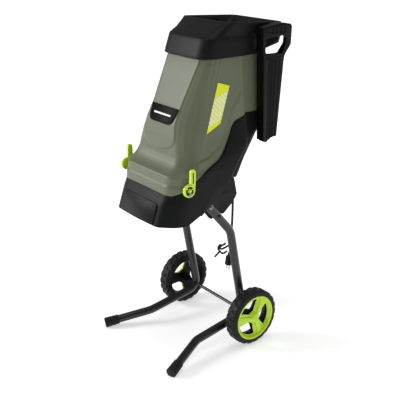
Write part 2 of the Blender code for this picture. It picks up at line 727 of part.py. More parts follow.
def build_cable_hook(path):
    """A clip on the lead above the plug: a ring with three prongs, to hang the lead up by."""
    grip = min(path, key=lambda point: abs(point.z - 240 * MM))
    half_height = Vector((0, 0, 5 * MM))
    ring = rod_mesh(grip - half_height, grip + half_height, 7.4 * MM)
    hook = add_part("cable_hook", ring, "rubber")
    trident = [
        (5, 1.5), (27, -14), (32, -12), (35, -7), (28, 1), (16, 6.5), (17.5, 10.5), (31, 5),
        (39.5, -6), (40, -16), (37, -22), (52, -38), (48.5, -42), (33, -27.5), (26, -31.5),
        (17, -28), (8.5, -21), (11, -18), (19, -23.5), (25, -25), (25.5, -20), (5, -5),
    ]
    outline = [(across * MM, up * MM) for across, up in trident]
    face = Matrix(((-0.6, 0, 0.8, 0), (-0.8, 0, -0.6, 0), (0, 1, 0, 0), (0, 0, 0, 1)))
    prongs = plate_mesh([outline], 5 * MM, Matrix.Translation(grip) @ face)
    combine(hook, add_cutter("hook_prongs", prongs), "UNION")
    bore = rod_mesh(grip - half_height * 1.8, grip + half_height * 1.8, CORD_RADIUS + 0.6 * MM)
    combine(hook, add_cutter("hook_bore", bore))


def smooth_curve(knots, steps=24):
    """Points along a Catmull-Rom curve through every knot but the first and the last."""
    curve = []
    for before, here, there, after in zip(knots, knots[1:], knots[2:], knots[3:]):
        leave = (there - before) / 2
        arrive = (after - here) / 2
        for step in range(steps):
            part = step / steps
            point = here * (2 * part**3 - 3 * part**2 + 1) + there * (3 * part**2 - 2 * part**3)
            point += leave * (part**3 - 2 * part**2 + part) + arrive * (part**3 - part**2)
            curve.append(point)
    curve.append(knots[-2])
    return curve


def hanging_route(start, outward):
    """The lead's centre line, read from a smooth curve out of the relief and down to the plug."""
    knots = [start] + [Vector((0, y * MM, z * MM)) for y, z in CORD_KNOTS]
    first = (knots[1] - start).length
    knots.insert(0, knots[1] - outward * 2 * first)
    knots.append(knots[-1] * 2 - knots[-2])
    curve = smooth_curve(knots)
    spacing = 11 * MM
    path = [curve[0]]
    target = 2 * MM
    travelled = 0
    for here, there in zip(curve, curve[1:]):
        travelled += (there - here).length
        if travelled >= target:
            path.append(there)
            target = travelled + spacing
    if (curve[-1] - path[-1]).length < spacing / 2:
        path.pop()
    path.append(curve[-1])
    return path


def latch_rod(side, inner, outer, radius, sides=16, end_radius=None):
    """A rod along a latch's axis, between two distances from the machine's middle plane."""
    start = (side * inner, LATCH_Y, LATCH_Z)
    end = (side * outer, LATCH_Y, LATCH_Z)
    return rod_mesh(start, end, radius, sides, end_radius)


def build_latch(name, side, tub):
    """A lime cam lever: its round base turns on an off-centre pin in the tub's side wall."""
    pivot = make_pivot(f"{name}_latch_pivot", (side * LATCH_X, LATCH_Y, LATCH_Z), DATUM)
    outer = 155.5 * MM
    base = latch_rod(side, 146.4 * MM, outer, KNOB_RADIUS, 24)
    base.transform(Matrix.Translation((0, 0, KNOB_LIFT)))
    lever = add_part(f"{name}_latch_lever", base, "lime", pivot)
    arm = [
        (-217, 522), (-200, 522), (-197, 560), (-198, 580),
        (-202, 585), (-210, 585), (-214, 580), (-214, 560),
    ]
    low, high = sorted((side * 147 * MM, side * 153 * MM))
    combine(lever, add_cutter(f"{name}_latch_arm", side_plate([arm], low, high), pivot), "UNION")
    hole = latch_rod(side, 130 * MM, 170 * MM, 3.4 * MM)
    combine(lever, add_cutter(f"{name}_latch_hole", hole, pivot))
    head = latch_rod(side, outer + GAP, outer + 3 * MM, 5.4 * MM, 16, 4 * MM)
    pin = add_part(f"{name}_latch_pin", head, "steel")
    shank = latch_rod(side, 128 * MM, outer + MM, 3 * MM)
    combine(pin, add_cutter(f"{name}_latch_shank", shank), "UNION")
    wall_hole = latch_rod(side, 120 * MM, 150 * MM, 3.3 * MM)
    combine(tub, add_cutter(f"{name}_wall_hole", wall_hole))


def build_hood(pivot):
    """The hopper hood: a lofted shell that meets the tub along the parting line."""
    levels = [
        (500, 144, -256, 97, -224, 7, 100, 88),
        (552, 144, -248, 97, -216, 7, 100, 88),
        (572, 133, -223, 92, -192, 7, 100, 88),
        (600, 127, -212, 88, -182, 7, 100, 88),
        (650, 120, -204, 76, -170, 7, 100, 88),
        (684, 117, -196, 68, -158, 7, 100, 88),
        (723, 112, -177, 64, -140, 7, 100, 88),
        (852.4, 96, -114, 74, -90, 7, 94, 85),
    ]
    thickness = HOOD_WALL / MM
    outer = [body_ring(*level, crown=0) for level in levels]
    inner = [body_ring(*level, wall=thickness, crown=0) for level in reversed(levels)]
    hood = add_part("hood_shell", loft_mesh(outer + inner), "sage", pivot)
    line = [(y - 0.5, z + 0.6) for y, z in PARTING]
    below = [(-400, line[0][1])] + line + [(200, line[-1][1]), (200, 440), (-400, 440)]
    lower_cut = side_plate([below], -CUT_REACH, CUT_REACH)
    combine(hood, add_cutter("hood_lower_cut", lower_cut, pivot))
    arm = [
        (86, 700), (86, 740), (95, 730), (104, 700), (108, 674),
        (106, 662), (98, 658), (91, 661), (88, 668), (90, 690),
    ]
    for index, side in enumerate((-1, 1)):
        low, high = sorted((side * 30 * MM, side * 44 * MM))
        arm_mesh = side_plate([arm], low, high)
        combine(hood, add_cutter(f"hood_arm_{index}", arm_mesh, pivot), "UNION")
    pin_hole = hinge_rod(75 * MM, HINGE_PIN_RADIUS + GAP)
    combine(hood, add_cutter("hood_pin_hole", pin_hole, pivot))


def build_cap(pivot):
    """Funnel mouth on top of the hood, the rubber flap in it and the throat below it."""
    skirt = dict(step=7, crown=0)
    rings = [
        body_ring(853, 99, -119, 84, -98, narrow=97, rear=90, **skirt),
        body_ring(862, 99.5, -117.7, 84.3, -96.7, narrow=98, rear=95, **skirt),
        body_ring(863.5, 99.6, -117.5, 84.4, -96.5, narrow=98.5, rear=151, tilt=-0.04, **skirt),
        body_ring(908, 102, -111, 86, -90, narrow=101, rear=154, tilt=0.06, **skirt),
        body_ring(944, 107, -46, 95, -30, narrow=106, rear=150, tilt=0.06, **skirt),
        body_ring(943, 102, -41, 91, -27, narrow=101, rear=145, tilt=0.06, **skirt),
        body_ring(905, 88, -74, 76, -58, narrow=87, rear=100, tilt=0.03, **skirt),
        body_ring(854, 80, -92, 68, -76, narrow=79, rear=68, **skirt),
        body_ring(854, 83, -95, 71, -79, narrow=82, rear=71, **skirt),
        body_ring(902, 96, -105, 82, -86, narrow=95, rear=110, tilt=0.06, **skirt),
        body_ring(853, 96, -116, 82, -96, narrow=94, rear=86, **skirt),
    ]
    add_part("hopper_cap", loft_mesh(rings), "cap_plastic", pivot)
    flap = round_corners([(-0.078, -0.088), (0.078, -0.088), (0.078, 0.062), (-0.078, 0.062)], [0.014] * 4)
    slits = [
        [(-0.055, -0.014), (-0.055, -0.011), (0.055, -0.011), (0.055, -0.014)],
        [(-0.0015, -0.018), (0.0015, -0.018), (0.0015, -0.070), (-0.0015, -0.070)],
        [(-0.0015, -0.007), (0.0015, -0.007), (0.0015, 0.045), (-0.0015, 0.045)],
    ]
    outlines = [[(point.x, point.y) for point in flap]] + slits
    flap_place = Matrix.Translation((0, 0, 852.2 * MM))
    add_part("splash_guard", plate_mesh(outlines, 2 * MM, flap_place), "rubber", pivot)
    throat = [
        body_ring(850, 84, -94, 74, -84, step=7, narrow=82, rear=70, crown=0),
        body_ring(602, 62, -190, 52, -178, step=-120, narrow=58, rear=-106, crown=0),
        body_ring(602, 60, -188, 50, -177, step=-121, narrow=56, rear=-108, crown=0),
        body_ring(850, 82, -92, 72, -83, step=6, narrow=80, rear=68, crown=0),
    ]
    add_part("feed_throat", loft_mesh(throat), "black_plastic", pivot)


def build_hood_trim(pivot):
    """A blank label plate on the front and a decal plate on each side."""
    lean = math.atan2(20, 39)
    place = Matrix.Translation((0, -188.2 * MM, 703.6 * MM)) @ Matrix.Rotation(math.pi / 2 - lean, 4, "X")
    corners = [(-0.050, -0.021), (0.050, -0.021), (0.061, 0.021), (-0.061, 0.021)]
    rounded = round_corners(corners, [9 * MM, 9 * MM, 3 * MM, 3 * MM])
    outline = [(point.x, point.y) for point in rounded]
    add_part("label_plate", plate_mesh([outline], 1.4 * MM, place), "label", pivot)
    for name, side in (("left", -1), ("right", 1)):
        outline = [(-86, 792), (-47, 779), (-87, 683), (-137, 661)]
        plate = side_plate([outline], -0.5 * MM, 0.5 * MM)
        slope = math.atan2(24, 202)
        centre = Vector((0, -90 * MM, 727 * MM))
        turn = Matrix.Rotation(-side * slope, 4, "Y")
        place = Matrix.Translation(centre + Vector((side * 113.6 * MM, 0, 0)))
        plate.transform(place @ turn @ Matrix.Translation(-centre))
        add_part(f"{name}_side_decal", plate, "lime", pivot)


def build_pusher(hood_pivot):
    """Plunger with a D handle that hangs on a tab at the hood's right rear."""
    tab = [(58, 801), (88, 801), (88, 824.2), (58, 824.2)]
    tab_mesh = side_plate([tab], 100.5 * MM, 119 * MM)
    holder = add_part("pusher_holder", tab_mesh, "black_plastic", hood_pivot)
    bevel(holder, 1 * MM)
    place = ((PUSHER_X[0] + PUSHER_X[1]) / 2, 76 * MM, 824.6 * MM)
    pivot = make_pivot("pusher_slide", place, hood_pivot)
    outline = [
        (44, 921), (48, 927), (112, 935), (146, 930), (150.5, 924), (148.8, 874), (127, 848),
        (124, 836), (106, 617), (80, 613), (56, 610), (48, 850), (45, 868),
    ]
    window = [(54, 897), (124, 901), (130, 893), (129, 881), (117, 851), (58, 856), (54, 861)]
    blade = side_plate([outline, window], *PUSHER_X)
    pusher = add_part("pusher", blade, "black_plastic", pivot)
    bevel(pusher, 1.5 * MM)
    hollow = [(50, 903), (140, 908), (146, 900), (145, 876), (123, 850), (52, 850)]
    grip_hollow = side_plate([hollow], PUSHER_X[0] - 5 * MM, PUSHER_X[1] - 9.5 * MM)
    combine(pusher, add_cutter("grip_hollow", grip_hollow, pivot))
    groove = box_mesh((100 * MM, 56 * MM, 590 * MM), (119.6 * MM, 90 * MM, 824.5 * MM))
    combine(pusher, add_cutter("pusher_groove", groove, pivot))


def main():
    bolt_spots = build_leg("left", -1)
    build_leg("right", 1)
    build_axle()
    build_wheel("left", -1)
    build_wheel("right", 1)
    tub = build_tub()
    cover = build_motor_cover(bolt_spots)
    build_motor()
    build_rotor()
    build_switches()
    lead = build_cord(cover)
    build_cable_hook(lead)
    build_latch("left", -1, tub)
    build_latch("right", 1, tub)
    hood_pivot = make_pivot("hood_pivot", (0, HINGE_Y, HINGE_Z), DATUM)
    build_hood(hood_pivot)
    build_cap(hood_pivot)
    build_hood_trim(hood_pivot)
    build_pusher(hood_pivot)


main()
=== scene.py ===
"""Looks for an electric garden wood chipper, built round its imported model.

Shapes are given in millimetres from the wheel axle's middle plane: X across the machine,
-Y to the front and Z up from the ground. place() turns them into metres of the model's frame.
"""

import sys
import logging
import math
from collections.abc import Callable, Iterable, Sequence
from dataclasses import dataclass
from enum import Enum

import bmesh
import bpy
from mathutils import Matrix, Vector


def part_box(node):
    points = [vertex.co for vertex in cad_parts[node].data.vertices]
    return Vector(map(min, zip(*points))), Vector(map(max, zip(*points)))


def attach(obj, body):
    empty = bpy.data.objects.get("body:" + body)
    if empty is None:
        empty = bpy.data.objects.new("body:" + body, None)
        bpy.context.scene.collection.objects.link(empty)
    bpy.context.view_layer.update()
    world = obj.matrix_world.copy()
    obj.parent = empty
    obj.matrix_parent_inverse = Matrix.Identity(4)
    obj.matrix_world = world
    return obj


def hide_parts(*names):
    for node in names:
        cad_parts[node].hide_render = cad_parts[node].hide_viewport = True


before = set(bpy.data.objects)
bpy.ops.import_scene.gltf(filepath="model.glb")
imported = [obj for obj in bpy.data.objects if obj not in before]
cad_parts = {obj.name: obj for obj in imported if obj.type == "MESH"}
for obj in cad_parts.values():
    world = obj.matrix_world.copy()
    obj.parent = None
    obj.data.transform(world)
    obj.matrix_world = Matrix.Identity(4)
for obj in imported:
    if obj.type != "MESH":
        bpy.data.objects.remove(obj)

LOG = logging.getLogger("wood_chipper")
MM = 0.001
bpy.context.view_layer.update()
AXLE = (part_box("axle_rod")[0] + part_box("axle_rod")[1]) / 2

Colour = tuple[float, float, float]
Point2 = tuple[float, float]
Point3 = tuple[float, float, float]
Level = tuple[float, ...]

# Places that several sub-assemblies share, in millimetres: (y, z) in side view, or (x, y, z)
HINGE: Point2 = (98.0, 668.0)
LATCH_PIN: Point2 = (-218.0, 518.0)
LEAD_WALL: Point3 = (0.0, -5.56, 470.0)
LEAD_AXIS: Point3 = (0.0, 0.9762, 0.2169)

# How far a cutting plate reaches past the machine, lengthwise and sideways
CLEAR = 400.0
CLEAR_SIDE = 200.0
# The smallest radius of a turned profile, which closes it round its axis
POINT = 0.01

SIDES: tuple[tuple[str, int], ...] = (("left", -1), ("right", 1))


def place(x: float, y: float, z: float) -> Vector:
    """A point in metres of the model's frame, from millimetres measured at the axle."""
    return Vector((x * MM, y * MM + AXLE.y, z * MM))


# ---------------------------------------------------------------- shader groups


class Graph:
    """A node tree with a short way to add a node and join its inputs."""

    def __init__(self, tree: bpy.types.NodeTree) -> None:
        """Keep the tree that nodes go into."""
        self.tree = tree

    def feed(self, node: bpy.types.Node, values: dict) -> None:
        """Set some inputs of a node.

        Args:
            node: the node.
            values: its inputs by name or index, each a socket to link or a value.
        """
        for name, value in values.items():
            if isinstance(value, bpy.types.NodeSocket):
                self.tree.links.new(value, node.inputs[name])
            else:
                node.inputs[name].default_value = value

    def node(self, kind: str, values: dict | None = None, **settings: object) -> bpy.types.Node:
        """Add a node.

        Args:
            kind: the node's type name.
            values: its inputs by name or index, each a socket to link or a value.
            settings: the node's own properties.

        Returns:
            The new node.
        """
        made = self.tree.nodes.new(kind)
        for key, value in settings.items():
            setattr(made, key, value)
        self.feed(made, values or {})
        return made

    def group(self, tree: bpy.types.NodeTree, values: dict) -> bpy.types.Node:
        """Place a node group and set its inputs."""
        return self.node("ShaderNodeGroup", values, node_tree=tree)

    def math(self, operation: str, *values: object, clamp: bool = False) -> bpy.types.NodeSocket:
        """The output socket of one Math node."""
        node = self.node("ShaderNodeMath", dict(enumerate(values)), operation=operation, use_clamp=clamp)
        return node.outputs[0]

    def mix(self, factor: object, first: object, second: object) -> bpy.types.NodeSocket:
        """The output socket of a mix of two colours."""
        node = self.node("ShaderNodeMix", {0: factor, 6: first, 7: second}, data_type="RGBA")
        return node.outputs[2]

    def noise(self, vector: object, scale: object, detail: float = 4.0) -> bpy.types.NodeSocket:
        """A noise texture's value between 0 and 1."""
        node = self.node("ShaderNodeTexNoise", {"Vector": vector, "Scale": scale, "Detail": detail})
        return node.outputs["Fac"]

    def ramp(self, value: object, low: object, high: object) -> bpy.types.NodeSocket:
        """Spread a value from low..high to 0..1 with soft ends."""
        values = {"Value": value, "From Min": low, "From Max": high}
        return self.node("ShaderNodeMapRange", values, interpolation_type="SMOOTHSTEP").outputs[0]


def opaque(colour: Colour) -> tuple[float, float, float, float]:
    """A colour with full alpha."""
    return (*colour, 1.0)


def grey(value: float) -> tuple[float, float, float, float]:
    """An even grey with full alpha."""
    return opaque((value, value, value))


FLOAT, VECTOR, COLOUR = "NodeSocketFloat", "NodeSocketVector", "NodeSocketColor"


class EffectGroups:
    """The node groups that several finishes share, each built once."""

    def __init__(self) -> None:
        """Build every group."""
        self.grain = self._grain()
        self.drift = self._drift()
        self.edge_highlight = self._edge_highlight()
        self.dust = self._dust()
        self.streaks = self._streaks()

    @staticmethod
    def _open(
        name: str, inputs: dict[str, tuple[str, object]], outputs: dict[str, str]
    ) -> tuple[Graph, bpy.types.NodeOutputs, bpy.types.Node]:
        """Make an empty group with its sockets.

        Args:
            name: the group's name.
            inputs: socket type and default of each input, by name.
            outputs: socket type of each output, by name.

        Returns:
            The group's graph, the sockets of its input node, and its output node.
        """
        tree = bpy.data.node_groups.new(name, "ShaderNodeTree")
        for label, (kind, default) in inputs.items():
            socket = tree.interface.new_socket(name=label, in_out="INPUT", socket_type=kind)
            if default is not None:
                socket.default_value = default
        for label, kind in outputs.items():
            tree.interface.new_socket(name=label, in_out="OUTPUT", socket_type=kind)
        source = tree.nodes.new("NodeGroupInput")
        return Graph(tree), source.outputs, tree.nodes.new("NodeGroupOutput")

    def _grain(self) -> bpy.types.NodeTree:
        """Spark-eroded mould grain: soft cells with fine noise between them.

        Returns:
            The node group.
        """
        graph, given, sink = self._open(
            "Mould Grain",
            {"Vector": (VECTOR, None), "Scale": (FLOAT, 900.0), "Cell Share": (FLOAT, 0.6)},
            {"Height": FLOAT, "Pits": FLOAT},
        )
        values = {"Vector": given["Vector"], "Scale": given["Scale"]}
        cells = graph.node("ShaderNodeTexVoronoi", values, feature="SMOOTH_F1").outputs["Distance"]
        fine = graph.noise(given["Vector"], graph.math("MULTIPLY", given["Scale"], 2.3), 3.0)
        high = graph.math("MULTIPLY", cells, given["Cell Share"])
        height = graph.math("ADD", high, graph.math("MULTIPLY", fine, 0.6))
        graph.feed(sink, {"Height": height, "Pits": graph.ramp(cells, 0.15, 0.5)})
        return graph.tree

    def _drift(self) -> bpy.types.NodeTree:
        """Broad and fine changes of tone over a surface.

        Returns:
            The node group.
        """
        graph, given, sink = self._open(
            "Tone Drift",
            {
                "Vector": (VECTOR, None),
                "Colour": (COLOUR, grey(0.5)),
                "Shade": (COLOUR, grey(0.3)),
                "Scale": (FLOAT, 9.0),
                "Amount": (FLOAT, 0.5),
            },
            {"Colour": COLOUR, "Cloud": FLOAT},
        )
        broad = graph.ramp(graph.noise(given["Vector"], given["Scale"], 3.0), 0.3, 0.7)
        fine = graph.noise(given["Vector"], graph.math("MULTIPLY", given["Scale"], 31.0), 5.0)
        cloud = graph.math("MULTIPLY_ADD", fine, 0.4, graph.math("MULTIPLY", broad, 0.6))
        factor = graph.math("MULTIPLY", cloud, given["Amount"], clamp=True)
        graph.feed(sink, {"Colour": graph.mix(factor, given["Colour"], given["Shade"]), "Cloud": cloud})
        return graph.tree

    def _edge_highlight(self) -> bpy.types.NodeTree:
        """A mask of painted edge highlight, where a rounded normal leaves the true one, broken up by noise.

        Returns:
            The node group.
        """
        graph, given, sink = self._open(
            "Painted Edge Highlight",
            {"Vector": (VECTOR, None), "Radius": (FLOAT, 0.0015), "Strength": (FLOAT, 0.5)},
            {"Mask": FLOAT},
        )
        soft_normal = graph.node("ShaderNodeBevel", {"Radius": given["Radius"]}, samples=4).outputs[0]
        true_normal = graph.node("ShaderNodeNewGeometry").outputs["Normal"]
        facing = graph.node("ShaderNodeVectorMath", {0: soft_normal, 1: true_normal}, operation="DOT_PRODUCT")
        # painted edge highlight: the mask rises where the rounded normal leaves the true one
        edge = graph.ramp(graph.math("SUBTRACT", 1.0, facing.outputs["Value"]), 0.01, 0.16)
        broken = graph.ramp(graph.noise(given["Vector"], 160.0, 6.0), 0.35, 0.65)
        highlighted = graph.math("MULTIPLY", edge, broken)
        graph.feed(sink, {"Mask": graph.math("MULTIPLY", highlighted, given["Strength"], clamp=True)})
        return graph.tree

    def _dust(self) -> bpy.types.NodeTree:
        """A mask of fine dust that lies on faces which look upwards.

        Returns:
            The node group.
        """
        graph, given, sink = self._open(
            "Settled Dust", {"Vector": (VECTOR, None), "Amount": (FLOAT, 0.1)}, {"Mask": FLOAT}
        )
        normal = graph.node("ShaderNodeNewGeometry").outputs["Normal"]
        upward = graph.ramp(graph.node("ShaderNodeSeparateXYZ", {0: normal}).outputs["Z"], 0.1, 0.95)
        specks = graph.ramp(graph.noise(given["Vector"], 420.0, 7.0), 0.42, 0.72)
        lying = graph.math("MULTIPLY", upward, specks)
        graph.feed(sink, {"Mask": graph.math("MULTIPLY", lying, given["Amount"], clamp=True)})
        return graph.tree

    def _streaks(self) -> bpy.types.NodeTree:
        """Long fine scratches, drawn out along one axis of the piece.

        Returns:
            The node group.
        """
        graph, given, sink = self._open(
            "Brush Streaks",
            {"Vector": (VECTOR, None), "Stretch": (VECTOR, (40.0, 1600.0, 1600.0))},
            {"Value": FLOAT},
        )
        values = {0: given["Vector"], 1: given["Stretch"]}
        drawn = graph.node("ShaderNodeVectorMath", values, operation="MULTIPLY").outputs[0]
        graph.feed(sink, {"Value": graph.noise(drawn, 1.0, 5.0)})
        return graph.tree


class Texture(Enum):
    """How a finish's surface is broken up."""

    MOULDED = "moulded"
    BRUSHED = "brushed"


@dataclass(frozen=True)
class Finish:
    """One surface finish, and the node material that it makes.

    Args:
        name: the material's name.
        slot: a material slot name, which is not used.
        colour: main colour.
        shade: the tone that the main colour drifts to.
        highlight_colour: colour of the painted edge highlight.
        roughness: lowest and highest roughness.
        metallic: how far the surface is bare metal.
        specular: strength of the plain reflection.
        coat: weight of a clear coat.
        drift: how far the colour drifts to its shade.
        drift_scale: size of the drift's clouds, finer when higher.
        grain_scale: size of the mould grain, finer when higher.
        grain_depth: depth of the relief, in millimetres.
        edge_highlight: strength of the painted edge highlight.
        edge_highlight_radius: its reach, in metres.
        dust: amount of dust on faces that look upwards.
        dust_colour: its colour.
        texture: how the surface is broken up.
        stretch: fineness of brushed streaks along each axis.
    """

    name: str
    slot: str
    colour: Colour
    shade: Colour
    highlight_colour: Colour
    roughness: tuple[float, float]
    metallic: float = 0.0
    specular: float = 0.5
    coat: float = 0.0
    drift: float = 0.7
    drift_scale: float = 9.0
    grain_scale: float = 1100.0
    grain_depth: float = 0.12
    edge_highlight: float = 0.25
    edge_highlight_radius: float = 0.0012
    dust: float = 0.04
    dust_colour: Colour = (0.42, 0.39, 0.33)
    texture: Texture = Texture.MOULDED
    stretch: Point3 = (40.0, 1600.0, 1600.0)

    def material(self, effects: EffectGroups) -> bpy.types.Material:
        """Build the node material.

        Args:
            effects: the shared node groups.

        Returns:
            The finished material.
        """
        made = bpy.data.materials.new(self.name)
        made.use_nodes = True
        graph = Graph(made.node_tree)
        vector = graph.node("ShaderNodeTexCoord").outputs["Object"]
        toned = self.base_colour(graph, effects, vector)
        # painted edge highlight: sharp edges are mixed towards a lighter colour, broken up by noise
        edge_highlight = graph.group(effects.edge_highlight, {"Vector": vector, "Radius": self.edge_highlight_radius, "Strength": self.edge_highlight})
        dust = graph.group(effects.dust, {"Vector": vector, "Amount": self.dust})
        highlighted = graph.mix(edge_highlight.outputs["Mask"], toned.outputs["Colour"], opaque(self.highlight_colour))
        dusty = graph.mix(dust.outputs["Mask"], highlighted, opaque(self.dust_colour))
        cloud, height = self._relief(graph, effects, vector, toned.outputs["Cloud"])
        low, high = self.roughness
        rough = graph.math("MULTIPLY_ADD", cloud, high - low, low)
        rough = graph.math("MULTIPLY_ADD", dust.outputs["Mask"], 0.5, rough)
        bump = graph.node("ShaderNodeBump", {"Strength": 1.0, "Distance": self.grain_depth * MM, "Height": height})
        graph.feed(
            made.node_tree.nodes["Principled BSDF"],
            {
                "Base Color": dusty,
                "Roughness": rough,
                "Normal": bump.outputs[0],
                "Metallic": self.metallic,
                "Specular IOR Level": self.specular,
                "Coat Weight": self.coat,
                "Coat Roughness": 0.12,
            },
        )
        return made

    def base_colour(self, graph: Graph, effects: EffectGroups, vector: bpy.types.NodeSocket) -> bpy.types.Node:
        """The colour before wear and dust.

        Args:
            graph: the material's graph.
            effects: the shared node groups.
            vector: the piece's own coordinates.

        Returns:
            A node with Colour and Cloud outputs.
        """
        values = {
            "Vector": vector,
            "Colour": opaque(self.colour),
            "Shade": opaque(self.shade),
            "Scale": self.drift_scale,
            "Amount": self.drift,
        }
        return graph.group(effects.drift, values)

    def _relief(
        self, graph: Graph, effects: EffectGroups, vector: bpy.types.NodeSocket, cloud: bpy.types.NodeSocket
    ) -> tuple[bpy.types.NodeSocket, bpy.types.NodeSocket]:
        """The fine relief of the surface.

        Args:
            graph: the material's graph.
            effects: the shared node groups.
            vector: the piece's own coordinates.
            cloud: the colour's broad drift.

        Returns:
            The value that roughness follows and the height that bump follows.
        """
        if self.texture is Texture.BRUSHED:
            streaks = graph.group(effects.streaks, {"Vector": vector, "Stretch": self.stretch})
            return streaks.outputs["Value"], streaks.outputs["Value"]
        grain = graph.group(effects.grain, {"Vector": vector, "Scale": self.grain_scale})
        value = graph.math("MULTIPLY_ADD", grain.outputs["Pits"], 0.5, graph.math("MULTIPLY", cloud, 0.5))
        return value, grain.outputs["Height"]


@dataclass(frozen=True)
class StripeFinish(Finish):
    """A sticker: a plain field with a pale band across it, hatched with thin slanted lines.

    Args:
        band: lower and upper height of the pale band, in metres.
        pale: the band's colour.
        hatch: distance between the slanted lines, in metres.
        lean: fall of the band's edges along the machine.
        rise: how far the band's edges are lifted, in metres.
        soft: width of a blurred edge of the band, in metres.
        line: where a slanted line starts and ends, as shares of the hatch.
        cloud_scale: size of the drift's clouds, finer when higher.
    """

    band: tuple[float, float] = (0.695, 0.757)
    pale: Colour = (0.9, 0.92, 0.8)
    hatch: float = 0.0145
    lean: float = 0.35
    rise: float = 0.028
    soft: float = 0.0006
    line: tuple[float, float] = (0.17, 0.21)
    cloud_scale: float = 14.0

    def base_colour(self, graph: Graph, effects: EffectGroups, vector: bpy.types.NodeSocket) -> bpy.types.Node:
        """The striped field.

        Args:
            graph: the material's graph.
            effects: the shared node groups.
            vector: the piece's own coordinates.

        Returns:
            A node with Colour and Cloud outputs.
        """
        parts = graph.node("ShaderNodeSeparateXYZ", {0: vector})
        along = graph.math("MULTIPLY_ADD", parts.outputs["Y"], -self.lean, parts.outputs["Z"])
        slope = graph.math("ADD", parts.outputs["Y"], parts.outputs["Z"])
        turns = graph.math("PINGPONG", slope, self.hatch / 2)
        line = graph.ramp(turns, self.hatch * self.line[0], self.hatch * self.line[1])
        low, high = (edge - self.lean * AXLE.y + self.rise for edge in self.band)
        above = graph.ramp(along, low, low + self.soft)
        below = graph.ramp(along, high + self.soft, high)
        in_band = graph.math("MULTIPLY", graph.math("MULTIPLY", above, below), line)
        values = {
            "Vector": vector,
            "Colour": graph.mix(in_band, opaque(self.colour), opaque(self.pale)),
            "Shade": opaque(self.shade),
            "Scale": self.cloud_scale,
            "Amount": self.drift,
        }
        return graph.group(effects.drift, values)


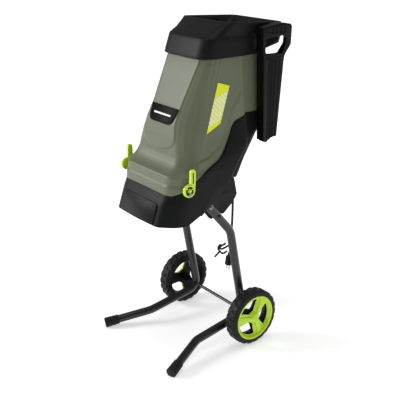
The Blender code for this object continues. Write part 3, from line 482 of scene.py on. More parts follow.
class Paints:
    """Every material of the machine, by name."""

    FINISHES: tuple[Finish, ...] = (
        # The third colour of each finish is the lighter colour of its painted edge highlight
        Finish(
            "sage_polypropylene", "sage",
            (0.134, 0.15, 0.09), (0.112, 0.126, 0.075), (0.21, 0.23, 0.16),
            (0.36, 0.48), specular=0.45, grain_depth=0.05, edge_highlight=0.3, dust=0.03,
        ),
        Finish(
            "black_polypropylene", "black_plastic",
            (0.0052, 0.0064, 0.0055), (0.003, 0.0038, 0.0034), (0.03, 0.032, 0.03),
            (0.34, 0.5), specular=0.13, grain_depth=0.08, edge_highlight=0.4,
        ),
        Finish(
            "jet_polypropylene", "black_plastic",
            (0.004, 0.004, 0.0042), (0.0025, 0.0025, 0.0027), (0.03, 0.03, 0.03),
            (0.3, 0.46), specular=0.12, grain_depth=0.06, edge_highlight=0.35,
        ),
        Finish(
            "charcoal_mouth", "cap_plastic",
            (0.0075, 0.0075, 0.008), (0.0045, 0.0045, 0.005), (0.04, 0.04, 0.04),
            (0.34, 0.5), specular=0.12, grain_depth=0.08, edge_highlight=0.45, dust=0.06,
        ),
        Finish(
            "lime_gloss", "lime",
            (0.6, 0.88, 0.012), (0.5, 0.76, 0.008), (0.8, 0.93, 0.3),
            (0.2, 0.32), coat=0.3, grain_depth=0.015, edge_highlight=0.25, dust=0.02,
        ),
        Finish(
            "soft_rubber", "rubber",
            (0.007, 0.007, 0.0075), (0.011, 0.011, 0.011), (0.03, 0.03, 0.03),
            (0.5, 0.7), specular=0.25, grain_depth=0.1, grain_scale=1500.0,
        ),
        Finish(
            "tyre_rubber", "tyre",
            (0.006, 0.006, 0.007), (0.011, 0.011, 0.0115), (0.03, 0.03, 0.03),
            (0.4, 0.62), specular=0.25, grain_depth=0.12, grain_scale=700.0, edge_highlight=0.45, dust=0.03,
        ),
        Finish(
            "graphite_powder_coat", "tube_paint",
            (0.034, 0.034, 0.036), (0.02, 0.02, 0.022), (0.16, 0.16, 0.16),
            (0.2, 0.36), metallic=0.55, specular=0.5, coat=0.25, grain_depth=0.04, grain_scale=2200.0, edge_highlight=0.25,
        ),
        Finish(
            "zinc_steel", "steel",
            (0.3, 0.305, 0.31), (0.2, 0.205, 0.215), (0.5, 0.5, 0.5),
            (0.3, 0.55), metallic=1.0, grain_depth=0.02, texture=Texture.BRUSHED,
        ),
        Finish(
            "label_gloss", "label",
            (0.0015, 0.0015, 0.0015), (0.003, 0.003, 0.003), (0.03, 0.03, 0.03),
            (0.32, 0.44), specular=0.04, grain_depth=0.01, edge_highlight=0.1, dust=0.01,
        ),
        Finish(
            "label_print", "label",
            (0.8, 0.8, 0.78), (0.68, 0.68, 0.66), (0.6, 0.6, 0.6),
            (0.3, 0.42), grain_depth=0.01, edge_highlight=0.1, dust=0.02,
        ),
        Finish(
            "stop_red", "red",
            (0.55, 0.02, 0.015), (0.42, 0.014, 0.012), (0.7, 0.2, 0.18),
            (0.25, 0.36), coat=0.2, grain_depth=0.015,
        ),
        Finish(
            "start_green", "green",
            (0.02, 0.3, 0.06), (0.014, 0.22, 0.045), (0.2, 0.5, 0.25),
            (0.25, 0.36), coat=0.2, grain_depth=0.015,
        ),
        Finish(
            "nickel_pin", "nickel",
            (0.72, 0.7, 0.62), (0.55, 0.53, 0.46), (0.85, 0.84, 0.8),
            (0.15, 0.35), metallic=1.0, grain_depth=0.01, texture=Texture.BRUSHED, stretch=(900.0, 900.0, 40.0),
        ),
        StripeFinish(
            "side_sticker", "lime",
            (0.8, 0.88, 0.008), (0.66, 0.73, 0.006), (0.62, 0.7, 0.25),
            (0.26, 0.36), drift=0.35, grain_depth=0.008, edge_highlight=0.1, dust=0.02,
        ),
    )

    def __init__(self) -> None:
        """Build the shared groups and every material."""
        effects = EffectGroups()
        self.finishes = {finish.name: finish for finish in self.FINISHES}
        self.materials = {finish.name: finish.material(effects) for finish in self.FINISHES}

    def dress(self, made: bpy.types.Object, name: str) -> None:
        """Give a piece one finish.

        Args:
            made: the piece.
            name: the finish's name.
        """
        made.data.materials.clear()
        made.data.materials.append(self.materials[name])

    def dress_nodes(self, name: str, nodes: Iterable[str]) -> None:
        """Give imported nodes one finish, through their object's own slots.

        Args:
            name: the finish's name.
            nodes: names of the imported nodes.
        """
        for node in nodes:
            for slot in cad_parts[node].material_slots:
                slot.link = "OBJECT"
                slot.material = self.materials[name]


# ---------------------------------------------------------------- mesh tools


def mesh_of(points: Sequence[Vector], faces: Sequence[Sequence[int]]) -> bpy.types.Mesh:
    """A mesh from points and faces, with its faces turned outwards.

    Args:
        points: corners, in metres.
        faces: corner numbers of each face.

    Returns:
        The mesh.
    """
    mesh = bpy.data.meshes.new("shape")
    mesh.from_pydata([tuple(point) for point in points], [], [tuple(face) for face in faces])
    return clean(mesh)


def clean(mesh: bpy.types.Mesh, reach: float = 0.000005) -> bpy.types.Mesh:
    """Weld doubled corners and turn faces outwards.

    Args:
        mesh: the mesh to clean, which is changed.
        reach: corners nearer than this, in metres, are welded.

    Returns:
        The same mesh.
    """
    work = bmesh.new()
    work.from_mesh(mesh)
    bmesh.ops.remove_doubles(work, verts=work.verts, dist=reach)
    bmesh.ops.recalc_face_normals(work, faces=work.faces)
    work.to_mesh(mesh)
    work.free()
    return mesh


def loft(rings: Sequence[Sequence[Vector]], closed: bool = True) -> bpy.types.Mesh:
    """Join rings of equal count.

    Args:
        rings: closed loops of points.
        closed: join the last ring to the first, or cap both ends.

    Returns:
        The closed mesh.
    """
    count = len(rings[0])
    points = [point for ring in rings for point in ring]
    faces: list[list[int]] = []
    last = len(rings) if closed else len(rings) - 1
    for row in range(last):
        low = row * count
        high = (row + 1) % len(rings) * count
        for index in range(count):
            after = (index + 1) % count
            faces.append([low + index, low + after, high + after, high + index])
    if not closed:
        faces.append(list(range(count))[::-1])
        faces.append(list(range((len(rings) - 1) * count, len(rings) * count)))
    return mesh_of(points, faces)


def turned(profile: Sequence[Point2], origin: Vector, axis: Vector, steps: int = 48) -> bpy.types.Mesh:
    """Turn a profile about an axis.

    Args:
        profile: (radius, distance along the axis) in millimetres, a closed loop round the section.
        origin: the axis's start, in metres.
        axis: its direction.
        steps: points round the axis.

    Returns:
        The closed mesh.
    """
    lean = Vector((0, 0, 1)).rotation_difference(axis.normalized()).to_matrix().to_4x4()
    matrix = Matrix.Translation(origin) @ lean
    rings = []
    for step in range(steps):
        angle = 2 * math.pi * step / steps
        ring = [matrix @ (Vector((r * math.cos(angle), r * math.sin(angle), h)) * MM) for r, h in profile]
        rings.append(ring)
    return loft(rings)


def tube(path: Sequence[Vector], radius: float, sides: int = 20) -> bpy.types.Mesh:
    """A capped round tube along points, with its rings turned as little as possible.

    Args:
        path: the centre line, in metres.
        radius: the tube's radius, in metres.
        sides: points round it.

    Returns:
        The closed mesh.
    """
    rings = []
    normal = Vector((1, 0, 0))
    for index, point in enumerate(path):
        before = path[max(index - 1, 0)]
        after = path[min(index + 1, len(path) - 1)]
        along = (after - before).normalized()
        normal = (normal - along * normal.dot(along)).normalized()
        side = along.cross(normal)
        turns = [2 * math.pi * step / sides for step in range(sides)]
        rings.append([point + (normal * math.cos(turn) + side * math.sin(turn)) * radius for turn in turns])
    return loft(rings, closed=False)


def sheet_cut(outlines: Sequence[Sequence[Point2]], thickness: float, matrix: Matrix) -> bpy.types.Mesh:
    """A flat plate with holes.

    Args:
        outlines: the edge and then the holes, in metres.
        thickness: plate thickness in metres, half to each side of local z = 0.
        matrix: where the plate goes.

    Returns:
        The closed mesh.
    """
    curve = bpy.data.curves.new("plate", "CURVE")
    curve.dimensions = "2D"
    curve.fill_mode = "BOTH"
    curve.extrude = thickness / 2
    for outline in outlines:
        spline = curve.splines.new("POLY")
        spline.points.add(len(outline) - 1)
        for point, (across, up) in zip(spline.points, outline):
            point.co = (across, up, 0, 1)
        spline.use_cyclic_u = True
    holder = bpy.data.objects.new("plate", curve)
    bpy.context.scene.collection.objects.link(holder)
    evaluated = holder.evaluated_get(bpy.context.evaluated_depsgraph_get())
    mesh = bpy.data.meshes.new_from_object(evaluated)
    bpy.data.objects.remove(holder)
    mesh.transform(matrix)
    return clean(mesh, 0.00002)


# Turns a flat drawing (across, up) into side view (y, z), with its thickness along X
SIDEWAYS = Matrix(((0, 0, 1, 0), (1, 0, 0, 0), (0, 1, 0, 0), (0, 0, 0, 1)))


def side_plate(outlines: Sequence[Sequence[Point2]], low: float, high: float) -> bpy.types.Mesh:
    """A plate drawn in side view.

    Args:
        outlines: the edge and then the holes, as (y, z) in millimetres.
        low: the plate's lower X, in millimetres.
        high: its upper X.

    Returns:
        The closed mesh.
    """
    shapes = [[(y * MM + AXLE.y, z * MM) for y, z in outline] for outline in outlines]
    matrix = Matrix.Translation(((low + high) / 2 * MM, 0, 0)) @ SIDEWAYS
    return sheet_cut(shapes, (high - low) * MM, matrix)


def sided_plate(outline: Sequence[Point2], side: int, near: float, far: float) -> bpy.types.Mesh:
    """A plate drawn in side view on one side of the machine.

    Args:
        outline: its edge, as (y, z) in millimetres.
        side: -1 for the left and 1 for the right.
        near: distance of its inner face from the middle, in millimetres.
        far: distance of its outer face.

    Returns:
        The closed mesh.
    """
    low, high = sorted((side * near, side * far))
    return side_plate([outline], low, high)


def turned_across(
    profile: Sequence[Point2], y: float, z: float, side: int = 1, steps: int = 28
) -> bpy.types.Mesh:
    """Turn a profile about a line across the machine, at (y, z) in millimetres."""
    return turned(profile, place(0, y, z), Vector((side, 0, 0)), steps)


def rounded(points: Sequence[Point2], radii: Sequence[float] | float, steps: int = 5) -> list[Point2]:
    """Round a polygon's corners with a parabola at each.

    Args:
        points: the corners.
        radii: how far each rounding reaches along its edges, or one reach for all.
        steps: edges in each rounding.

    Returns:
        The outline, always with the same number of points for the same radii.
    """
    sizes = [radii] * len(points) if isinstance(radii, (int, float)) else list(radii)
    outline: list[Point2] = []
    for index, radius in enumerate(sizes):
        corner = Vector(points[index])
        before = Vector(points[index - 1]) - corner
        after = Vector(points[(index + 1) % len(points)]) - corner
        if radius == 0:
            outline.append(tuple(corner))
            continue
        reach = min(radius, 0.47 * before.length, 0.47 * after.length)
        start = corner + before.normalized() * reach
        finish = corner + after.normalized() * reach
        for step in range(steps + 1):
            part = step / steps
            outline.append(tuple(start * (1 - part) ** 2 + corner * 2 * part * (1 - part) + finish * part**2))
    return outline


def box(low: Vector, high: Vector) -> bpy.types.Mesh:
    """A box between two corners, as a cutter or a base for rounding."""
    corners = [Vector((x, y, z)) for x in (low.x, high.x) for y in (low.y, high.y) for z in (low.z, high.z)]
    return mesh_of(corners, [(0, 1, 3, 2), (4, 6, 7, 5), (0, 4, 5, 1), (2, 3, 7, 6), (0, 2, 6, 4), (1, 5, 7, 3)])


def merged(meshes: Iterable[bpy.types.Mesh]) -> bpy.types.Mesh:
    """Several closed meshes kept together as one.

    Args:
        meshes: the meshes.

    Returns:
        One mesh with all of their faces.
    """
    work = bmesh.new()
    for mesh in meshes:
        work.from_mesh(mesh)
    result = bpy.data.meshes.new("shape")
    work.to_mesh(result)
    work.free()
    return result


def applied(mesh: bpy.types.Mesh, change: Callable[[bpy.types.Object], None]) -> bpy.types.Mesh:
    """Apply modifiers to a mesh.

    Args:
        mesh: the mesh before.
        change: adds modifiers to the object that it is given.

    Returns:
        The mesh after.
    """
    holder = bpy.data.objects.new("work", mesh)
    bpy.context.scene.collection.objects.link(holder)
    change(holder)
    evaluated = holder.evaluated_get(bpy.context.evaluated_depsgraph_get())
    result = bpy.data.meshes.new_from_object(evaluated)
    bpy.data.objects.remove(holder)
    return result


def combined(base: bpy.types.Mesh, tool: bpy.types.Mesh, operation: str = "DIFFERENCE") -> bpy.types.Mesh:
    """Cut one solid from another, or join it on.

    Args:
        base: the solid that stays.
        tool: the solid that cuts it or joins it.
        operation: DIFFERENCE or UNION.

    Returns:
        The new solid.
    """
    helper = bpy.data.objects.new("tool", tool)
    bpy.context.scene.collection.objects.link(helper)

    def change(holder: bpy.types.Object) -> None:
        """Add the boolean.

        Args:
            holder: the object that it is added to.
        """
        modifier = holder.modifiers.new("combine", "BOOLEAN")
        modifier.object = helper
        modifier.operation = operation
        modifier.solver = "EXACT"

    result = applied(base, change)
    bpy.data.objects.remove(helper)
    return result


def cut_by(mesh: bpy.types.Mesh, cuts: Iterable[bpy.types.Mesh]) -> bpy.types.Mesh:
    """Cut several solids from a mesh, one after another.

    Args:
        mesh: the solid that stays.
        cuts: the solids that cut it.

    Returns:
        The new solid.
    """
    for cut in cuts:
        mesh = combined(mesh, cut)
    return mesh


def bevelled(mesh: bpy.types.Mesh, width: float, segments: int = 2, angle: float = 35.0) -> bpy.types.Mesh:
    """Round a solid's sharp edges.

    Args:
        mesh: the solid.
        width: the rounding's width in millimetres.
        segments: faces across it.
        angle: edges sharper than this, in degrees, are rounded.

    Returns:
        The rounded mesh.
    """

    def change(holder: bpy.types.Object) -> None:
        """Add the bevel.

        Args:
            holder: the object that it is added to.
        """
        modifier = holder.modifiers.new("bevel", "BEVEL")
        modifier.width = width * MM
        modifier.segments = segments
        modifier.limit_method = "ANGLE"
        modifier.angle_limit = math.radians(angle)
        modifier.use_clamp_overlap = True

    return applied(mesh, change)


def piece(
    name: str, mesh: bpy.types.Mesh, body: str, nodes: Sequence[str] = (), smooth: float = 32.0
) -> bpy.types.Object:
    """Put a finished mesh into the scene.

    Args:
        name: the piece's name.
        mesh: its mesh, in the model's frame.
        body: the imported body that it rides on.
        nodes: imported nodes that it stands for.
        smooth: edges sharper than this, in degrees, stay sharp.

    Returns:
        The new object.
    """
    mesh.name = name
    mesh.shade_smooth()
    mesh.set_sharp_from_angle(angle=math.radians(smooth))
    made = bpy.data.objects.new(name, mesh)
    bpy.context.scene.collection.objects.link(made)
    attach(made, body)
    if nodes:
        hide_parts(*nodes)
    LOG.info("%s: %d faces on %s", name, len(mesh.polygons), body)
    return made


def smooth_curve(knots: Sequence[Vector], steps: int) -> list[Vector]:
    """Points along a smooth curve through every knot but the first and the last.

    Args:
        knots: the knots, of which the two at the ends only steer.
        steps: points from one knot to the next.

    Returns:
        The curve's points.
    """
    curve: list[Vector] = []
    for before, here, there, after in zip(knots, knots[1:], knots[2:], knots[3:]):
        leave = (there - before) / 2
        arrive = (after - here) / 2
        for step in range(steps):
            part = step / steps
            point = here * (2 * part**3 - 3 * part**2 + 1) + there * (3 * part**2 - 2 * part**3)
            curve.append(point + leave * (part**3 - 2 * part**2 + part) + arrive * (part**3 - part**2))
    curve.append(knots[-2])
    return curve


def fillet_path(points: Sequence[Vector], radii: Sequence[float], steps: int = 14) -> list[Vector]:
    """Replace each inner corner of a path by an arc.

    Args:
        points: the path's corners, in metres.
        radii: the arc's radius at each inner corner, in metres.
        steps: edges in each arc.

    Returns:
        The path's points.
    """
    path = [points[0]]
    for before, corner, after, radius in zip(points, points[1:], points[2:], radii):
        inward = (before - corner).normalized()
        outward = (after - corner).normalized()
        half = inward.angle(outward) / 2
        reach = radius / math.tan(half)
        centre = corner + (inward + outward).normalized() * radius / math.sin(half)
        start = corner + inward * reach - centre
        finish = corner + outward * reach - centre
        sweep = start.angle(finish)
        for step in range(steps + 1):
            part = step / steps
            first = math.sin((1 - part) * sweep) / math.sin(sweep)
            second = math.sin(part * sweep) / math.sin(sweep)
            path.append(centre + start * first + finish * second)
    path.append(points[-1])
    return path


def soft_table(levels: Sequence[Level], z: float, reach: float) -> list[float]:
    """Read a table of sizes by height, with its breaks rounded over a reach.

    Args:
        levels: rows of (z, size, size, ...), by rising z.
        z: the height to read at.
        reach: half the height over which a break is rounded.

    Returns:
        The sizes at that height.
    """

    def straight(height: float) -> list[float]:
        """The table's own straight-line value.

        Args:
            height: the height to read at.

        Returns:
            The sizes at that height.
        """
        height = min(max(height, levels[0][0]), levels[-1][0])
        for low, high in zip(levels, levels[1:]):
            if height <= high[0]:
                part = (height - low[0]) / (high[0] - low[0])
                return [a + (b - a) * part for a, b in zip(low[1:], high[1:])]
        return list(levels[-1][1:])

    weights = {-1.0: 0.12, -0.5: 0.24, 0.0: 0.28, 0.5: 0.24, 1.0: 0.12}
    samples = [straight(z + reach * offset) for offset in weights]
    columns = range(len(samples[0]))
    return [sum(weight * row[column] for weight, row in zip(weights.values(), samples)) for column in columns]


def body_outline(sizes: Sequence[float], wall: float, crown: float, steps: int = 8) -> list[Point2]:
    """One level of the housing's outline, in millimetres, right half and then left half.

    Args:
        sizes: wide, front, facet, shoulder, step, narrow and rear.
        wall: how far the outline is moved inwards.
        crown: how far the middle of the front stands forward.
        steps: faces in each rounded corner.

    Returns:
        The closed outline.
    """
    wide, front, facet, shoulder, step, narrow, rear = sizes
    half = [
        (0, front - crown + wall),
        (facet * 0.5, front - crown * 0.7 + wall),
        (facet - 0.4 * wall, front + wall),
        (wide - wall, shoulder + 0.4 * wall),
        (wide - wall, (shoulder + step) / 2),
        (wide - wall, step - wall),
        (narrow - wall, step - wall),
        (narrow - wall, rear - wall),
        (0, rear - wall),
    ]
    right = rounded(half, [0, 14, 12, 26, 14, 9, 9, 22, 0], steps)
    left = [(-x, y) for x, y in reversed(right[1:-1])]
    return right + left


def divided(outline: Sequence[Point2], model: Sequence[Point2], longest: float) -> list[Point2]:
    """Split an outline's long edges, by how many pieces the same edge of a model outline needs.

    Args:
        outline: the closed outline to split.
        model: an outline of the same count, which sets the number of pieces.
        longest: longest piece along the model, in millimetres.

    Returns:
        The outline with its extra points.
    """
    points: list[Point2] = []
    for index, start in enumerate(outline):
        finish = outline[(index + 1) % len(outline)]
        length = math.dist(model[index], model[(index + 1) % len(model)])
        count = max(1, math.ceil(length / longest))
        for step in range(count):
            part = step / count
            points.append((start[0] + (finish[0] - start[0]) * part, start[1] + (finish[1] - start[1]) * part))
    return points


def ring_at(outline: Sequence[Point2], z: float, tilt: float = 0.0, front: float = 0.0) -> list[Vector]:
    """Lift an outline to a height; tilt drops it towards the rear."""
    return [place(x, y, z - tilt * (y - front)) for x, y in outline]


# ---------------------------------------------------------------- sub-assemblies


@dataclass
class Studio:
    """Floor, lights and camera."""

    camera_place: Point3 = (1592.0, -1316.0, 1194.0)
    camera_target: Point3 = (-5.5, -58.5, 418.5)
    lens: float = 66.0
    sensor: float = 36.0
    floor_size: float = 40.0
    floor_drop: float = 0.0004
    # Distance from the middle, in metres, over which the floor's painted glow rises from dim to bright
    glow_reach: tuple[float, float] = (0.2, 1.8)
    fill: float = 0.26
    light_target: Point3 = (0.0, 0.0, 0.45)
    lights: tuple[tuple[str, Point3, float, float], ...] = (
        ("key", (-2.6, -2.9, 1.9), 1.3, 92.0),
        ("side", (3.6, 0.4, 1.5), 1.2, 6.0),
        ("rim", (-0.2, 3.0, 2.4), 1.2, 14.0),
        ("top", (0.2, 0.0, 3.4), 1.8, 20.0),
    )

    def aim_camera(self) -> None:
        """Set the scene's camera."""
        data = bpy.data.cameras.new("camera")
        data.lens = self.lens
        data.sensor_width = self.sensor
        camera = bpy.data.objects.new("camera", data)
        bpy.context.scene.collection.objects.link(camera)
        camera.location = place(*self.camera_place)
        look = place(*self.camera_target) - camera.location
        camera.rotation_euler = look.to_track_quat("-Z", "Y").to_euler()
        bpy.context.scene.camera = camera

    def lay_floor(self) -> None:
        """A pale matt floor with a faint mottle and a painted glow: it emits light, dimmer near the machine and
        brighter away from it.
        """
        half = self.floor_size / 2
        corners = [(x, y, -self.floor_drop) for x, y in ((-half, -half), (half, -half), (half, half), (-half, half))]
        mesh = bpy.data.meshes.new("floor")
        mesh.from_pydata(corners, [], [(0, 1, 2, 3)])
        floor = bpy.data.objects.new("floor", mesh)
        bpy.context.scene.collection.objects.link(floor)
        material = bpy.data.materials.new("studio_floor")
        material.use_nodes = True
        graph = Graph(material.node_tree)
        vector = graph.node("ShaderNodeTexCoord").outputs["Object"]
        reach = graph.node("ShaderNodeVectorMath", {0: vector}, operation="LENGTH").outputs["Value"]
        graph.feed(
            material.node_tree.nodes["Principled BSDF"],
            {
                "Base Color": graph.mix(graph.noise(vector, 3.0), grey(0.93), grey(0.95)),
                # painted glow: the floor emits light, weaker near the machine and stronger away from it
                "Emission Color": graph.mix(graph.ramp(reach, *self.glow_reach), grey(0.5), grey(0.9)),
                "Emission Strength": 1.0,
                "Roughness": 0.9,
                "Specular IOR Level": 0.1,
            },
        )
        mesh.materials.append(material)

    def hang_light(self, name: str, at: Vector, size: float, power: float) -> None:
        """Hang one square area light, aimed at the machine's middle.

        Args:
            name: the light's name.
            at: where it hangs, in metres.
            size: its edge, in metres.
            power: its power, in watts.
        """
        data = bpy.data.lights.new(name, "AREA")
        data.size = size
        data.energy = power
        lamp = bpy.data.objects.new(name, data)
        bpy.context.scene.collection.objects.link(lamp)
        lamp.location = at
        lamp.rotation_euler = (Vector(self.light_target) - at).to_track_quat("-Z", "Y").to_euler()

    def build(self) -> None:
        """Make the whole stage."""
        self.aim_camera()
        self.lay_floor()
        world = bpy.data.worlds.new("studio")
        world.use_nodes = True
        graph = Graph(world.node_tree)
        seen = graph.node("ShaderNodeLightPath").outputs["Is Camera Ray"]
        graph.feed(world.node_tree.nodes["Background"], {"Color": graph.mix(seen, grey(self.fill), grey(1.0))})
        bpy.context.scene.world = world
        bpy.context.scene.view_settings.view_transform = "Standard"
        for name, at, size, power in self.lights:
            self.hang_light(name, Vector(at), size, power)


@dataclass
class Assembly:
    """A sub-assembly of the machine, dressed from its shared materials."""

    paints: Paints

    def build(self) -> None:
        """Make every piece of the sub-assembly."""
        raise NotImplementedError

    def add(
        self, name: str, mesh: bpy.types.Mesh, body: str, nodes: Sequence[str], finish: str, smooth: float = 32.0
    ) -> bpy.types.Object:
        """Put a finished mesh into the scene and dress it.

        Args:
            name: the piece's name.
            mesh: its mesh, in the model's frame.
            body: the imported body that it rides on.
            nodes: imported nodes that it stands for.
            finish: the name of its finish.
            smooth: edges sharper than this, in degrees, stay sharp.

        Returns:
            The new object.
        """
        made = piece(name, mesh, body, nodes, smooth)
        self.paints.dress(made, finish)
        return made


@dataclass
class MainsLead(Assembly):
    """The free lead with its relief, plug and hanging hook."""

    diameter: float = 7.2
    wall: Point3 = LEAD_WALL
    outward: Point3 = LEAD_AXIS
    relief_length: float = 34.0
    gap: float = 0.3
    knots: tuple[Point2, ...] = (
        (39.5, 478.6), (51, 474), (60, 462), (64.3, 444), (65.6, 410),
        (65.2, 360), (63.4, 300), (60, 250), (56, 216),
    )
    hook_height: float = 240.0
    prongs: tuple[tuple[Point2, ...], ...] = (
        ((6, -1), (16, -7), (26, -12), (31.5, -11.5), (33.5, -7.5), (28, -1), (18, 4.4), (17.2, 8.4)),
        ((33.5, -7.5), (37.6, -5), (38.2, -12), (33.6, -20), (26, -27.5), (18, -25.5), (11, -19.5)),
        ((33.6, -20), (38, -26.2), (44, -33.4), (49.5, -39.4)),
        ((28, -1), (33, 1.6), (37.6, -5)),
    )

    def route(self) -> list[Vector]:
        """The lead's centre line from the relief to the plug.

        Returns:
            Its points, in metres.
        """
        axis = Vector(self.outward)
        start = place(*self.wall) + axis * (self.relief_length + self.gap) * MM
        knots = [start] + [place(0, y, z) for y, z in self.knots]
        knots.insert(0, knots[1] - axis * 2 * (knots[1] - start).length)
        knots.append(knots[-1] * 2 - knots[-2])
        return smooth_curve(knots, 4)

    def relief(self) -> bpy.types.Object:
        """A tapered boot with rings moulded round it.

        Returns:
            The boot.
        """
        profile: list[Point2] = [
            (POINT, -8), (5.2, -8), (5.2, 0.5), (9.5, 0.5), (9.5, 3.1), (8.9, 3.6), (7.2, 3.9),
        ]
        for step in range(6):
            low = 5.5 + step * 4.6
            radius = 7.0 - 2.3 * (low - 5.5) / 28.5
            profile += [(radius, low), (radius, low + 2.6), (radius - 0.9, low + 3.0), (radius - 1.0, low + 4.2)]
        profile += [(4.7, 33.1), (4.4, 34), (POINT, 34)]
        mesh = turned(profile, place(*self.wall), Vector(self.outward), 32)
        return self.add("cord_boot", mesh, "stand", ["cord_relief"], "soft_rubber")

    def plug(self, path: Sequence[Vector]) -> bpy.types.Object:
        """A moulded plug body with finger ridges.

        Args:
            path: the lead's centre line.

        Returns:
            The plug's body.
        """
        axis = (path[-1] - path[-2]).normalized()
        top = path[-1] + axis * self.gap * MM
        profile: list[Point2] = [
            (POINT, 0), (4.4, 0), (4.7, 0.6), (5.2, 4), (6.0, 8), (8.6, 10.4), (10.2, 12.6), (10.7, 14),
        ]
        for step in range(4):
            low = 16.5 + step * 3.6
            profile += [(10.8, low), (9.9, low + 0.6), (9.9, low + 1.6), (10.9, low + 2.2)]
        profile += [(11.2, 33), (11.4, 37), (10.9, 39.3), (9.8, 40), (POINT, 40)]
        mesh = turned(profile, top, axis, 36)
        holes = []
        for side in (-1, 1):
            foot = top + Vector((side * 5.5 * MM, 0, 0)) + axis * 33.6 * MM
            holes.append(tube([foot, foot + axis * 12 * MM], 2.5 * MM, 16))
        mesh = combined(mesh, merged(holes))
        return self.add("mains_plug", mesh, "stand", ["plug_body"], "soft_rubber")

    def hook(self, path: Sequence[Vector]) -> bpy.types.Object:
        """A clip ring with three curved prongs.

        Args:
            path: the lead's centre line, which the ring grips.

        Returns:
            The hook.
        """
        grip = min(path, key=lambda point: abs(point.z - self.hook_height * MM))
        ring_section: list[Point2] = [(4.3, -5), (6.8, -5), (7.4, -4.4), (7.4, 4.4), (6.8, 5), (4.3, 5)]
        ring = turned(ring_section, grip, Vector((0, 0, 1)), 28)
        face = Matrix(((-0.6, 0, 0.8, 0), (-0.8, 0, -0.6, 0), (0, 1, 0, 0), (0, 0, 0, 1)))
        matrix = Matrix.Translation(grip) @ face
        prongs = []
        for line in self.prongs:
            knots = [matrix @ Vector((x * MM, y * MM, 0)) for x, y in line]
            knots = [knots[0] * 2 - knots[1]] + knots + [knots[-1] * 2 - knots[-2]]
            prongs.append(tube(smooth_curve(knots, 5), 3.0 * MM, 14))
        return self.add("lead_hook", merged([ring] + prongs), "stand", ["cable_hook"], "soft_rubber")

    def build(self) -> None:
        path = self.route()
        lead = piece("mains_lead", tube(path, self.diameter / 2 * MM, 24), "stand", ["power_cord"])
        self.paints.dress(lead, "soft_rubber")
        boot = self.relief()
        plug = self.plug(path)
        hook = self.hook(path)
        self.paints.dress_nodes("nickel_pin", ["plug_pin_a", "plug_pin_b"])


@dataclass
class Stand(Assembly):
    """Bent tubes, foot caps, bolts and axle."""

    leg: tuple[Point3, ...] = (
        (114.0, -130, 459), (114.0, -41, 355), (114.0, 15, 67), (116, -168, 39), (172.0, -297, 14.6),
    )
    tube_radius: float = 12.5
    bends: tuple[float, float, float] = (60.0, 34.0, 60.0)

    def leg_path(self, side: int) -> list[Vector]:
        """The centre line of one tube."""
        corners = [place(side * x, y, z) for x, y, z in self.leg]
        return fillet_path(corners, [bend * MM for bend in self.bends])

    def foot_cap(self, name: str, path: Sequence[Vector]) -> None:
        """A ribbed rubber cap, flat where it stands.

        Args:
            name: left or right.
            path: the centre line of its tube.
        """
        run = (path[-1] - path[-2]).normalized()
        profile: list[Point2] = [
            (12.8, -36), (14.0, -36), (14.7, -35.2), (14.8, -31), (14.2, -30.2), (14.2, -28.4), (14.9, -27.6),
            (15.1, -16), (14.6, -15.2), (14.6, -13.6), (15.2, -12.8), (15.6, 5), (15.1, 7.2), (13.4, 8),
            (POINT, 8), (POINT, 0.3), (12.8, 0.3),
        ]
        mesh = turned(profile, path[-1], run, 48)
        work = bmesh.new()
        work.from_mesh(mesh)
        geometry = work.verts[:] + work.edges[:] + work.faces[:]
        cut = bmesh.ops.bisect_plane(work, geom=geometry, plane_co=(0, 0, 0), plane_no=(0, 0, -1), clear_outer=True)
        rim = [edge for edge in cut["geom_cut"] if isinstance(edge, bmesh.types.BMEdge)]
        bmesh.ops.triangle_fill(work, edges=rim, use_beauty=True)
        work.to_mesh(mesh)
        work.free()
        self.add(f"{name}_foot", clean(mesh), "stand", [f"{name}_foot_cap"], "soft_rubber")

    def bolt(self, name: str, node: str, side: int) -> None:
        """A domed bolt head with a washer under it and a socket in its face.

        Args:
            name: the piece's name.
            node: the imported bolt.
            side: -1 for the left and 1 for the right.
        """
        low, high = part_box(node)
        centre = (low + high) / 2
        face = side * (self.leg[0][0] + self.tube_radius + 0.3) * MM
        profile: list[Point2] = [
            (POINT, -22), (2.5, -22), (2.5, 0), (6.4, 0), (6.6, 0.4), (6.4, 0.9), (5.2, 0.9), (5.2, 1.8),
            (4.7, 3.2), (3.6, 4.2), (2.2, 4.5), (1.9, 4.2), (1.9, 2.6), (POINT, 2.6),
        ]
        mesh = turned(profile, Vector((face, centre.y, centre.z)), Vector((side, 0, 0)), 28)
        # painted shade: the lower bolt takes the darker graphite finish instead of zinc, so that it shows no highlight
        finish = "zinc_steel" if name.endswith("upper") else "graphite_powder_coat"
        self.add(name, mesh, "stand", [node], finish)

    def build(self) -> None:
        """Make both tubes and what is fixed to them."""
        for name, side in SIDES:
            path = self.leg_path(side)
            mesh = tube(path, self.tube_radius * MM, 32)
            self.add(f"{name}_stand_tube", mesh, "stand", [f"{name}_leg_tube"], "graphite_powder_coat")
            self.foot_cap(name, path)
            for spot in ("upper", "lower"):
                self.bolt(f"{name}_bolt_{spot}", f"{name}_leg_bolt_{spot}", side)
        reach = (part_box("axle_rod")[1].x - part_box("axle_rod")[0].x) / 2 / MM
        ends: list[Point2] = [
            (POINT, -reach), (4.4, -reach), (5, -reach + 0.7), (5, reach - 0.7), (4.4, reach), (POINT, reach),
        ]
        axle = piece("axle", turned(ends, AXLE, Vector((1, 0, 0)), 32), "stand", ["axle_rod"])
        self.paints.dress(axle, "graphite_powder_coat")


